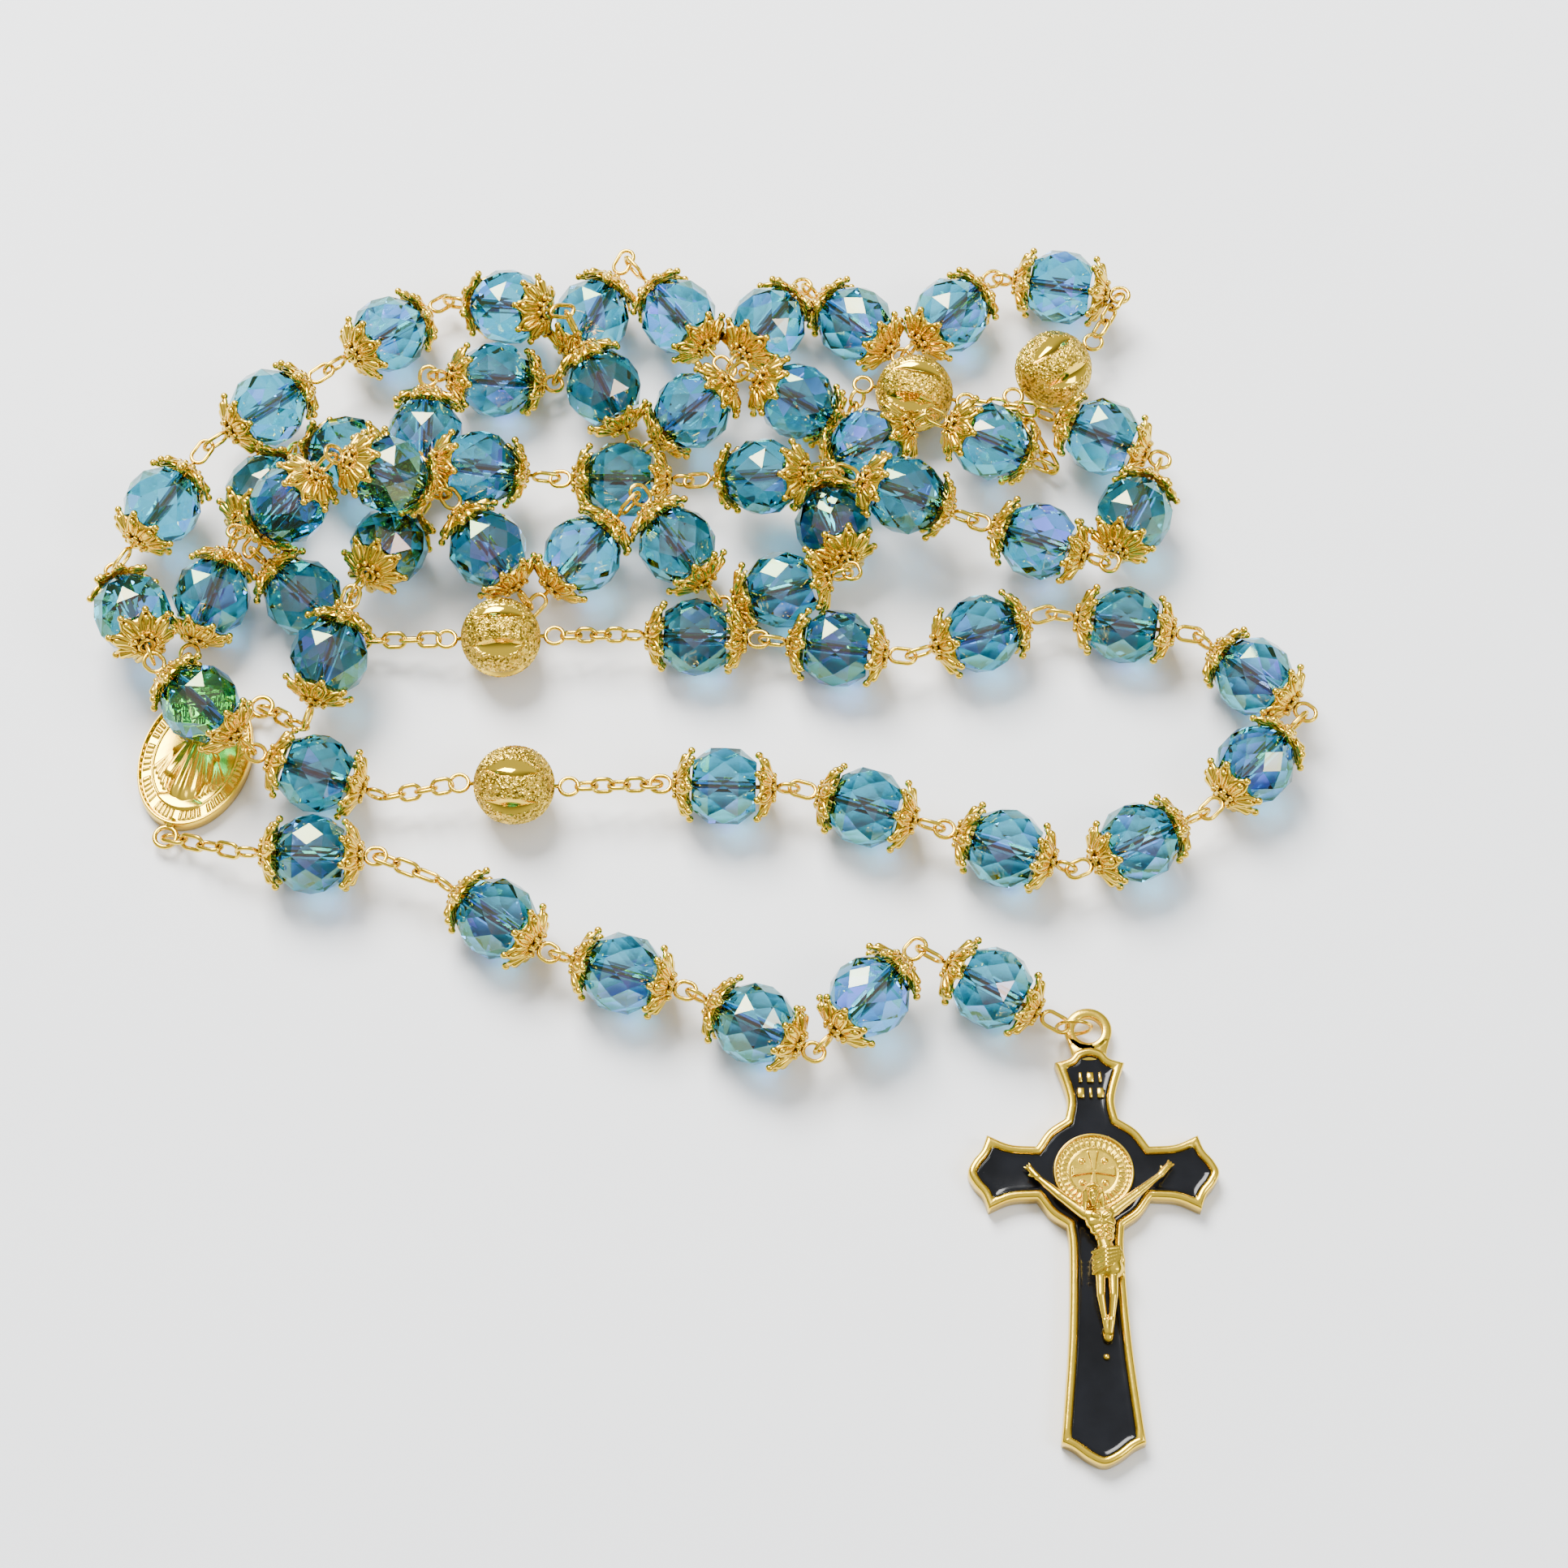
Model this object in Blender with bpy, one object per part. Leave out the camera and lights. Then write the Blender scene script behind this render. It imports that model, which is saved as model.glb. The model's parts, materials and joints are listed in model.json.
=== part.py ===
"""A rosary laid out on a flat surface: 56 faceted glass beads with filigree caps, 4 gold balls, chains,
a centre medal and a crucifix. Run with: blender --background --python part.py

Every length here is in millimetres and is scaled to metres when a piece is placed. X runs across the
layout, Y away from the crucifix, and Z up from the surface that the rosary lies on.
"""

import math

import bmesh
import bpy
from mathutils import Matrix, Vector

MM = 0.001
CLEARANCE = 0.3

# Faceted glass bead, seen along its pin
GLASS_DIAMETER = 8.0
GLASS_LENGTH = 6.4
GLASS_END_DIAMETER = 5.2
GLASS_GIRDLE = 2.2
GLASS_SIDES = 8

# Filigree cap over each end of a glass bead
CAP_DIAMETER = 7.0
CAP_BASE_DIAMETER = 3.2
CAP_HEIGHT = 1.6
CAP_SKIRT = 0.6
CAP_WALL = 0.35

# Wire, eyes and chain
PIN_WIRE = 0.45
EYE_DIAMETER = 2.35
CHAIN_WIRE = 0.4
LINK_WIDTH = 2.0
LINK_OVERLAP = 0.5

# Gold ball
BALL_DIAMETER = 8.0

# Centre medal
MEDAL_LENGTH = 16.0
MEDAL_WIDTH = 11.2
MEDAL_THICKNESS = 1.8
MEDAL_RIM = 0.8
MEDAL_RELIEF = 0.4
MEDAL_RING_DIAMETER = 2.7
MEDAL_RING_WIRE = 0.5
MEDAL_RING_HEIGHT = 1.2

# Crucifix
CROSS_LENGTH = 41.6
CROSS_WIDTH = 24.2
CROSS_THICKNESS = 2.0
CROSS_RIM = 0.9
POCKET_DEPTH = 0.9
ENAMEL_THICKNESS = 0.45
MEDALLION_DIAMETER = 7.8
BAIL_DIAMETER = 4.6
BAIL_HOLE_DIAMETER = 2.7
BAIL_THICKNESS = 0.8
BAIL_HEIGHT = 0.85
JUMP_RING_DIAMETER = 3.85
FIGURE_THICKNESS = 1.2
FIGURE_LENGTH = 17.0
FIGURE_SPAN = 15.0

# Sizes that follow from the ones above
PIN_RADIUS = PIN_WIRE / 2
EYE_RADIUS = (EYE_DIAMETER - PIN_WIRE) / 2
PIN_HOLE_RADIUS = PIN_RADIUS + CLEARANCE
LINK_RADIUS = (LINK_WIDTH - CHAIN_WIRE) / 2
CAP_INSIDE = GLASS_LENGTH / 2 + CLEARANCE
CAP_BASE = CAP_INSIDE + CAP_HEIGHT
CAP_RIM = CAP_INSIDE - CAP_SKIRT
BALL_EYE = BALL_DIAMETER / 2 + CLEARANCE + EYE_DIAMETER / 2
JUMP_RING_RADIUS = (JUMP_RING_DIAMETER - PIN_WIRE) / 2
BAIL_RADIUS = (BAIL_DIAMETER + BAIL_HOLE_DIAMETER) / 4

# Where the rosary lies: the joints between its links, in order, as (x, y, height).
LAYOUT_CENTRE = (-8.16, -3.05)
DECADE_1 = [
    (-48.5, 6, 4.5), (-44, 19.5, 8), (-38, 33.5, 2.1), (-37.5, 47, 6), (-24.5, 48, 2.7), (-17, 62, 5.5),
    (-6, 48, 5.5), (2, 59.5, 4), (12.5, 50.5, 4), (22.5, 60.5, 4), (36, 58, 4.5),
]
DECADE_2 = [
    (28.5, 38, 1.5), (15.5, 40.5, 8.5), (3, 37, 2.6), (7, 23.5, 5.5), (-6.5, 21, 3), (-15, 32, 7),
    (-26, 20.5, 3.1), (-34.5, 31, 8), (-45.5, 31, 16.5), (-55, 26, 6), (-44.5, 17, 2.6),
]
DECADE_3 = [
    (-16.5, 17, 4), (-2.5, 16.5, 4), (12.5, 14.5, 4), (27, 19.5, 4), (42, 17, 4), (53, 8, 4),
    (42.5, -3, 4), (29, -9.5, 4), (16, -5, 4), (1.5, -0.5, 4), (-12.5, 0, 4),
]
DECADE_4 = [
    (-40, -1, 3), (-53, 2.5, 6), (-63.5, 11.5, 8.5), (-69, 24, 5), (-60.5, 38, 6), (-48.5, 47.5, 6),
    (-36.5, 58.5, 2.5), (-23, 53, 9), (-15.5, 39.5, 2), (-4.5, 46, 8.5), (6.5, 43, 2),
]
DECADE_5 = [
    (26.5, 43, 5.5), (39.5, 37.5, 4.5), (33.5, 24.5, 5.5), (20, 29.5, 5.5), (6, 32.5, 10.5),
    (-9.5, 35, 4.5), (-23.5, 35.5, 4), (-39, 34.5, 9.5), (-51.5, 40, 2.6), (-56.5, 28, 6), (-61, 15.5, 2.6),
]
TAIL_FIRST = [(-54.5, -7.5, 4), (-40.5, -8, 4)]
TAIL_REST = [
    (-34.5, -10.5, 4), (-23, -18.5, 4), (-9.5, -22.5, 4), (3, -29, 4), (13, -18.5, 5.5), (26.9, -25.6, 3),
]
# Each ball's centre, and the angle of its pin from +X, walking on towards the next decade
BALLS = [((28.6, 49, 4), 218), ((-29, 16.7, 4), 2), ((-27.1, -0.1, 4), 178), ((13.8, 46, 4), -11)]
MEDAL_CENTRE = (-59.8, 4.4)
MEDAL_TURN = -15
MEDAL_RINGS = {"left": (-4.7, 7.2), "right": (4.7, 7.2), "foot": (0, -9.3)}
CROSS_TURN = 0


def clear_scene():
    for obj in list(bpy.data.objects):
        bpy.data.objects.remove(obj)


def material(name, colour, roughness, metallic, transmission=0.0):
    made = bpy.data.materials.new(name)
    made.use_nodes = True
    shader = made.node_tree.nodes["Principled BSDF"]
    shader.inputs["Base Color"].default_value = (*colour, 1)
    shader.inputs["Roughness"].default_value = roughness
    shader.inputs["Metallic"].default_value = metallic
    shader.inputs["Transmission Weight"].default_value = transmission
    made.diffuse_color = (*colour, 1)
    return made


def new_object(name, mesh, finish, parent=None):
    mesh.name = name
    mesh.materials.clear()
    mesh.materials.append(finish)
    obj = bpy.data.objects.new(name, mesh)
    bpy.context.scene.collection.objects.link(obj)
    obj.parent = parent
    return obj


# ---- meshes, in millimetres


def rings_mesh(rings, closed_along=False):
    """A skin over rings of points. The ends are capped unless the last ring meets the first."""
    shape = bmesh.new()
    rows = [[shape.verts.new(point) for point in ring] for ring in rings]
    pairs = list(zip(rows, rows[1:] + rows[:1])) if closed_along else list(zip(rows, rows[1:]))
    for low, high in pairs:
        for i in range(len(low)):
            j = (i + 1) % len(low)
            shape.faces.new((low[i], low[j], high[j], high[i]))
    if not closed_along:
        shape.faces.new(list(reversed(rows[0])))
        shape.faces.new(rows[-1])
    bmesh.ops.recalc_face_normals(shape, faces=shape.faces)
    mesh = bpy.data.meshes.new("rings")
    shape.to_mesh(mesh)
    shape.free()
    return mesh


def circle(centre, radius, across, upward, sides):
    turns = [2 * math.pi * (i + 0.5) / sides for i in range(sides)]
    return [centre + (across * math.cos(t) + upward * math.sin(t)) * radius for t in turns]


def lathe(profile, sides, closed=False):
    """A solid turned about X. The profile is a list of (x, radius)."""
    across = Vector((0, 1, 0))
    upward = Vector((0, 0, 1))
    rings = [circle(Vector((x, 0, 0)), radius, across, upward, sides) for x, radius in profile]
    return rings_mesh(rings, closed)


def oval_ring(centre, along, across, half_length, half_width, wire, segments=6, sides=4):
    """A closed ring of wire in the plane of along and across. Its flat ends reach the half length."""
    normal = along.cross(across).normalized()
    half_length = half_length / math.cos(math.pi / segments)
    rings = []
    for i in range(segments):
        t = 2 * math.pi * (i + 0.5) / segments
        outward = (along * math.cos(t) + across * math.sin(t)).normalized()
        point = centre + along * half_length * math.cos(t) + across * half_width * math.sin(t)
        rings.append(circle(point, wire / 2, outward, normal, sides))
    return rings_mesh(rings, closed_along=True)


def swept(stations, sides):
    """A rod through stations of (centre, direction, radius)."""
    rings = []
    for centre, direction, radius in stations:
        side = direction.cross(Vector((0, 0, 1))).normalized()
        rings.append(circle(centre, radius, side, side.cross(direction).normalized(), sides))
    return rings_mesh(rings)


def fused(meshes, operation="UNION"):
    """One solid from meshes that overlap, or the first mesh less the others."""
    helpers = [bpy.data.objects.new("helper", mesh) for mesh in meshes]
    for helper in helpers:
        bpy.context.scene.collection.objects.link(helper)
    for other in helpers[1:]:
        join = helpers[0].modifiers.new("join", "BOOLEAN")
        join.operation = operation
        join.solver = "EXACT"
        join.object = other
    bpy.context.view_layer.update()
    graph = bpy.context.evaluated_depsgraph_get()
    result = bpy.data.meshes.new_from_object(helpers[0].evaluated_get(graph))
    for helper in helpers:
        bpy.data.objects.remove(helper)
    return result


def smooth(mesh, degrees=35):
    mesh.shade_smooth()
    mesh.set_sharp_from_angle(angle=math.radians(degrees))


# ---- links: every link starts with an upright eye and ends with a flat one


def cap_profile(sign):
    """Half of a pin's outline through one cap, from the bead's middle outwards."""
    points = [
        (CAP_INSIDE, PIN_RADIUS),
        (CAP_INSIDE, CAP_DIAMETER / 2 - 2 * CAP_WALL),
        (CAP_RIM, CAP_DIAMETER / 2),
        (CAP_BASE, CAP_BASE_DIAMETER / 2),
        (CAP_BASE, PIN_RADIUS),
    ]
    return [(sign * x, radius) for x, radius in points]


def pin_mesh(length):
    """An eye pin with its two caps, along X from its start joint at the origin."""
    middle = bead_middle(length)
    left = [(middle + x, radius) for x, radius in reversed(cap_profile(-1))]
    right = [(middle + x, radius) for x, radius in cap_profile(1)]
    stem_start = 2 * EYE_RADIUS
    stem_end = length - EYE_RADIUS
    core = lathe([(stem_start, PIN_RADIUS), *left, *right, (stem_end, PIN_RADIUS)], GLASS_SIDES)
    along, side, up = Vector((1, 0, 0)), Vector((0, 1, 0)), Vector((0, 0, 1))
    first = oval_ring(along * EYE_RADIUS, along, up, EYE_RADIUS, EYE_RADIUS, PIN_WIRE)
    last = oval_ring(along * length, along, side, EYE_RADIUS, EYE_RADIUS, PIN_WIRE)
    return fused([core, first, last])


def bead_middle(length):
    """Where the bead sits along its pin: half way between the two eyes."""
    return (length + EYE_RADIUS) / 2


def glass_mesh():
    half = GLASS_LENGTH / 2
    return lathe(
        [
            (-half, PIN_HOLE_RADIUS),
            (-half, GLASS_END_DIAMETER / 2),
            (-GLASS_GIRDLE / 2, GLASS_DIAMETER / 2),
            (GLASS_GIRDLE / 2, GLASS_DIAMETER / 2),
            (half, GLASS_END_DIAMETER / 2),
            (half, PIN_HOLE_RADIUS),
        ],
        GLASS_SIDES,
        closed=True,
    )


def link_frame(start, end):
    """A matrix with X from start to end, Y level and Z upward, at start. In millimetres."""
    along = (end - start).normalized()
    side = Vector((0, 0, 1)).cross(along).normalized()
    up = along.cross(side)
    turn = Matrix((along, side, up)).transposed().to_4x4()
    return Matrix.Translation(start) @ turn


def string_mesh(joints, sides=6):
    """Several beads with their caps and pins as one solid, for a stretch that lies buried in the pile."""
    stations = []
    for i in range(len(joints) - 1):
        start, end = joints[i], joints[i + 1]
        along = (end - start).normalized()
        middle = start + along * bead_middle((end - start).length)
        first = start + along * 2 * EYE_RADIUS if i == 0 else start
        ahead = along if i == 0 else (along + (start - joints[i - 1]).normalized()).normalized()
        stations.append((first, ahead, PIN_RADIUS))
        for x, radius in (
            (-CAP_BASE, PIN_RADIUS), (-CAP_BASE, CAP_BASE_DIAMETER / 2), (-CAP_RIM, CAP_DIAMETER / 2),
            (-GLASS_GIRDLE / 2, GLASS_DIAMETER / 2), (GLASS_GIRDLE / 2, GLASS_DIAMETER / 2),
            (CAP_RIM, CAP_DIAMETER / 2), (CAP_BASE, CAP_BASE_DIAMETER / 2), (CAP_BASE, PIN_RADIUS),
        ):
            stations.append((middle + along * x, along, radius))
    stations.append((joints[-1] - along * EYE_RADIUS, along, PIN_RADIUS))
    rod = swept(stations, sides)
    out = (joints[1] - joints[0]).normalized()
    side = Vector((0, 0, 1)).cross(out).normalized()
    first = oval_ring(joints[0] + out * EYE_RADIUS, out, out.cross(side), EYE_RADIUS, EYE_RADIUS, PIN_WIRE)
    side = Vector((0, 0, 1)).cross(along).normalized()
    last = oval_ring(joints[-1], along, side, EYE_RADIUS, EYE_RADIUS, PIN_WIRE)
    return fused([rod, first, last])


def chain_links(start, end, count):
    """Oval links from start to end that just bite into each other: upright, flat, upright and so on."""
    along = (end - start).normalized()
    side = Vector((0, 0, 1)).cross(along).normalized()
    up = along.cross(side)
    bite = LINK_OVERLAP * CHAIN_WIRE
    reach = ((end - start).length + (count - 1) * bite) / count
    links = []
    for i in range(count):
        across = side if i % 2 else up
        centre = start + along * (reach / 2 + i * (reach - bite))
        links.append(oval_ring(centre, along, across, reach / 2, LINK_RADIUS, CHAIN_WIRE))
    return links


def chain_mesh(start, end, count):
    """A chain that hooks upright into a flat ring at start, and ends flat round the joint at end."""
    return fused(chain_links(start, end + (end - start).normalized() * LINK_RADIUS, count))


def ball_pin_mesh(before, centre, ahead, after, counts):
    """A ball's pin with the chains on both its eyes, as one solid in the layout's place."""
    grip = EYE_RADIUS - LINK_OVERLAP * (PIN_RADIUS + CHAIN_WIRE / 2)
    side = Vector((0, 0, 1)).cross(ahead).normalized()
    eyes = [centre - ahead * BALL_EYE, centre + ahead * BALL_EYE]
    stem = [eyes[0] + ahead * EYE_RADIUS, eyes[1] - ahead * EYE_RADIUS]
    rod = swept([(point, ahead, PIN_RADIUS) for point in stem], 4)
    rings = [oval_ring(eye, ahead, side, EYE_RADIUS, EYE_RADIUS, PIN_WIRE) for eye in eyes]
    away = (before - eyes[0]).normalized()
    first = chain_links(before, eyes[0] + away * grip, counts[0])
    away = (after - eyes[1]).normalized()
    last = chain_links(eyes[1] + away * grip, after + away * LINK_RADIUS, counts[1])
    return fused([rod, *rings, *first, *last])


def ball_mesh(sides=12, steps=7):
    """A ball with a hole along X for its pin."""
    radius = BALL_DIAMETER / 2
    mouth = math.asin(PIN_HOLE_RADIUS / radius)
    turns = [mouth + (math.pi - 2 * mouth) * i / steps for i in range(steps + 1)]
    return lathe([(-radius * math.cos(t), radius * math.sin(t)) for t in turns], sides, closed=True)


# ---- centre medal


def inset(outline, distance):
    """The outline moved inwards by the same distance all round. It runs clockwise."""
    moved = []
    for i, point in enumerate(outline):
        here = Vector(point)
        before = (here - Vector(outline[i - 1])).normalized()
        after = (Vector(outline[(i + 1) % len(outline)]) - here).normalized()
        normals = Vector((before.y, -before.x)), Vector((after.y, -after.x))
        moved.append(here + (normals[0] + normals[1]) * distance / (1 + normals[0].dot(normals[1])))
    return moved


def stepped(*levels):
    """A solid through outlines at rising heights, as (outline, z)."""
    return rings_mesh([[Vector((x, y, z)) for x, y in outline] for outline, z in levels])


def plate_mesh(outline, thickness, rim, relief):
    """A plate with a raised rim round a sunk face."""
    sunk = inset(outline, rim)
    return stepped((outline, 0), (outline, thickness), (sunk, thickness), (sunk, thickness - relief))


def medal_mesh():
    turns = [-2 * math.pi * (i + 0.5) / 20 for i in range(20)]
    outline = [(MEDAL_WIDTH / 2 * math.cos(t), MEDAL_LENGTH / 2 * math.sin(t)) for t in turns]
    plate = plate_mesh(outline, MEDAL_THICKNESS, MEDAL_RIM, MEDAL_RELIEF)
    radius = (MEDAL_RING_DIAMETER - MEDAL_RING_WIRE) / 2
    across, along = Vector((1, 0, 0)), Vector((0, 1, 0))
    rings = []
    for x, y in MEDAL_RINGS.values():
        centre = Vector((x, y, MEDAL_RING_HEIGHT))
        rings.append(oval_ring(centre, across, along, radius, radius, MEDAL_RING_WIRE, 8))
        inward = Vector((-x, -y, 0)).normalized()
        neck = [centre + inward * radius, centre + inward * 2 * radius]
        rings.append(swept([(point, inward, MEDAL_RING_WIRE / 2) for point in neck], 4))
    return fused([plate, *rings])


def medal_ring_place(name):
    turn = Matrix.Rotation(math.radians(MEDAL_TURN), 4, "Z")
    x, y = MEDAL_RINGS[name]
    return turn @ Vector((x, y, MEDAL_RING_HEIGHT)) + Vector((*MEDAL_CENTRE, 0))


# ---- crucifix, with its origin at the middle of the bail's hole and the foot towards -Y


def cross_outline():
    """Right half of the outline from the head to the foot, then mirrored. The arms flare to ogee ends."""
    half_width = CROSS_WIDTH / 2
    head = -BAIL_RADIUS - 0.3
    foot = head - CROSS_LENGTH
    arm = head - 12.7
    right = [
        (0, head), (0.9, head - 0.2), (1.6, head - 0.8), (2.3, head - 1.3), (3.3, head - 1.5),
        (2.5, head - 3.9), (2.2, head - 6.0), (3.4, head - 7.4), (4.8, head - 8.8), (5.8, head - 9.9),
        (half_width - 4.0, arm + 2.6), (half_width - 1.7, arm + 3.6), (half_width - 1.2, arm + 2.3),
        (half_width - 0.3, arm + 1.0), (half_width, arm), (half_width - 0.3, arm - 1.0),
        (half_width - 1.2, arm - 2.3), (half_width - 1.9, arm - 3.5), (half_width - 4.0, arm - 2.7),
        (5.9, arm - 1.9), (4.5, arm - 3.7), (2.9, arm - 5.7), (2.6, arm - 8.4),
        (3.85, foot + 2.0), (2.7, foot + 1.5), (1.4, foot + 0.5), (0.6, foot + 0.1), (0, foot),
    ]
    left = [(-x, y) for x, y in reversed(right) if x > 0]
    return right + left, (0.0, arm)


def disc_mesh(middle, radius, bottom, top):
    turns = [-2 * math.pi * i / 20 for i in range(20)]
    outline = [(middle[0] + radius * math.cos(t), middle[1] + radius * math.sin(t)) for t in turns]
    return stepped((outline, bottom), (outline, top))


def frame_mesh():
    """The gold plate of the cross: a pocket for the enamel, the round medallion in it, and the bail."""
    outline, middle = cross_outline()
    plate = plate_mesh(outline, CROSS_THICKNESS, CROSS_RIM, POCKET_DEPTH)
    disc = disc_mesh(middle, MEDALLION_DIAMETER / 2, (CROSS_THICKNESS - POCKET_DEPTH) / 2, CROSS_THICKNESS)
    bail_top = BAIL_HEIGHT + BAIL_THICKNESS
    bail = lathe(
        [
            (BAIL_HEIGHT, BAIL_HOLE_DIAMETER / 2), (BAIL_HEIGHT, BAIL_DIAMETER / 2),
            (bail_top, BAIL_DIAMETER / 2), (bail_top, BAIL_HOLE_DIAMETER / 2),
        ],
        16,
        closed=True,
    )
    bail.transform(Matrix.Rotation(math.radians(-90), 4, "Y"))
    return fused([plate, disc, bail])


def enamel_mesh():
    """The fill of the pocket, one clearance in from the rim and round the medallion."""
    outline, middle = cross_outline()
    fill = inset(outline, CROSS_RIM + CLEARANCE)
    bottom = CROSS_THICKNESS - POCKET_DEPTH + CLEARANCE
    hole = disc_mesh(middle, MEDALLION_DIAMETER / 2 + CLEARANCE, bottom - 1, bottom + 1)
    return fused([stepped((fill, bottom), (fill, bottom + ENAMEL_THICKNESS)), hole], "DIFFERENCE")


def figure_mesh():
    """The figure in low relief: raised arms, body, cloth and legs, and a rounder head."""
    _, (_, arm) = cross_outline()
    bottom = CROSS_THICKNESS + CLEARANCE
    span = FIGURE_SPAN / 2
    head = arm - 2.6
    feet = head - FIGURE_LENGTH + 1.5
    right = [
        (0.0, head - 1.0), (0.7, head - 1.0), (1.5, head - 1.4),
        (span - 0.4, arm + 0.3), (span, arm - 0.2), (span - 0.6, arm - 0.8), (2.0, head - 3.4),
        (1.2, head - 6.2), (1.6, head - 8.0), (1.3, head - 10.0),
        (0.9, feet + 1.0), (0.5, feet), (0.0, feet),
    ]
    outline = right + [(-x, y) for x, y in reversed(right) if x > 0]
    body = stepped((outline, bottom), (outline, bottom + FIGURE_THICKNESS))
    round_head = lathe([(-1.4, 0.4), (-0.8, 0.95), (0, 1.15), (0.9, 0.95), (1.5, 0.4)], 10)
    upright = Matrix.Rotation(math.radians(90), 4, "Z")
    round_head.transform(Matrix.Translation((0, head, bottom + 1.25)) @ upright)
    return fused([body, round_head])


# ---- assembly


def place(obj, matrix):
    """Puts an object where the matrix says, in millimetres within the layout."""
    position, turn, _ = matrix.decompose()
    obj.parent = bpy.data.objects["rosary"]
    obj.location = position * MM
    obj.rotation_mode = "QUATERNION"
    obj.rotation_quaternion = turn
    bpy.context.view_layer.update()


def hang(obj, holder):
    """Makes holder the parent and leaves the object where it is."""
    bpy.context.view_layer.update()
    world = obj.matrix_world.copy()
    obj.parent = holder
    obj.matrix_parent_inverse = holder.matrix_world.inverted()
    obj.matrix_world = world
    bpy.context.view_layer.update()


def scaled(mesh):
    mesh.transform(Matrix.Scale(MM, 4))
    return mesh


def bead_unit(prefix, number, start, end, glass, finishes):
    """A glass bead on its pin. The pin's origin is on its start joint, the bead's is on the pin's axis."""
    start, end = Vector(start), Vector(end)
    length = (end - start).length
    mesh = scaled(pin_mesh(length))
    smooth(mesh)
    pin = new_object(f"{prefix}_pin_{number}", mesh, finishes["gold"])
    place(pin, link_frame(start, end))
    bead = new_object(f"{prefix}_glass_{number}", glass.copy(), finishes["glass"])
    bead.parent = pin
    bead.location = (bead_middle(length) * MM, 0, 0)
    return pin


def string_unit(name, joints, finishes):
    points = [Vector(joint) for joint in joints]
    mesh = string_mesh([point - points[0] for point in points])
    smooth(mesh)
    string = new_object(name, scaled(mesh), finishes["glass"])
    place(string, Matrix.Translation(points[0]))


def chain_unit(name, start, end, count, finishes):
    start, end = Vector(start), Vector(end)
    chain = new_object(name, scaled(chain_mesh(Vector((0, 0, 0)), end - start, count)), finishes["gold"])
    place(chain, Matrix.Translation(start))
    return chain


def ring_unit(name, start, end, finishes):
    """An upright jump ring whose wire passes through the middle of the flat ring at each end."""
    along = (end - start).normalized()
    side = Vector((0, 0, 1)).cross(along).normalized()
    reach = (end - start).length / 2
    mesh = oval_ring(along * reach, along, along.cross(side), reach, JUMP_RING_RADIUS, PIN_WIRE, 12, 6)
    ring = new_object(name, scaled(mesh), finishes["gold"])
    place(ring, Matrix.Translation(start))
    return ring


def ball_unit(number, before, after, counts, finishes):
    centre, angle = BALLS[number - 1]
    centre = Vector(centre)
    ahead = Vector((math.cos(math.radians(angle)), math.sin(math.radians(angle)), 0))
    mesh = ball_pin_mesh(Vector(before) - centre, Vector((0, 0, 0)), ahead, Vector(after) - centre, counts)
    pin = new_object(f"gold_ball_pin_{number}", scaled(mesh), finishes["gold"])
    place(pin, Matrix.Translation(centre))
    mesh = scaled(ball_mesh())
    smooth(mesh)
    ball = new_object(f"gold_ball_{number}", mesh, finishes["gold"])
    place(ball, link_frame(centre, centre + ahead))


def build_loop(glass, finishes):
    strings = {"1": DECADE_1, "2": DECADE_2, "4": DECADE_4, "5": DECADE_5}
    for number, joints in strings.items():
        string_unit(f"decade_{number}_first_five", joints[:6], finishes)
        string_unit(f"decade_{number}_last_five", joints[5:], finishes)
    for i in range(len(DECADE_3) - 1):
        bead_unit("decade_3", i + 1, DECADE_3[i], DECADE_3[i + 1], glass, finishes)
    ball_unit(1, DECADE_1[-1], DECADE_2[0], (3, 4), finishes)
    ball_unit(2, DECADE_2[-1], DECADE_3[0], (5, 4), finishes)
    ball_unit(3, DECADE_3[-1], DECADE_4[0], (5, 4), finishes)
    ball_unit(4, DECADE_4[-1], DECADE_5[0], (3, 4), finishes)
    ring_unit("medal_jump_ring", Vector(DECADE_5[-1]), medal_ring_place("left"), finishes)
    chain_unit("medal_chain", medal_ring_place("right"), DECADE_1[0], 4, finishes)


def build_medal(finishes):
    medal = new_object("centre_medal", scaled(medal_mesh()), finishes["gold"])
    turn = Matrix.Rotation(math.radians(MEDAL_TURN), 4, "Z")
    place(medal, Matrix.Translation((*MEDAL_CENTRE, 0)) @ turn)
    return medal


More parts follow.
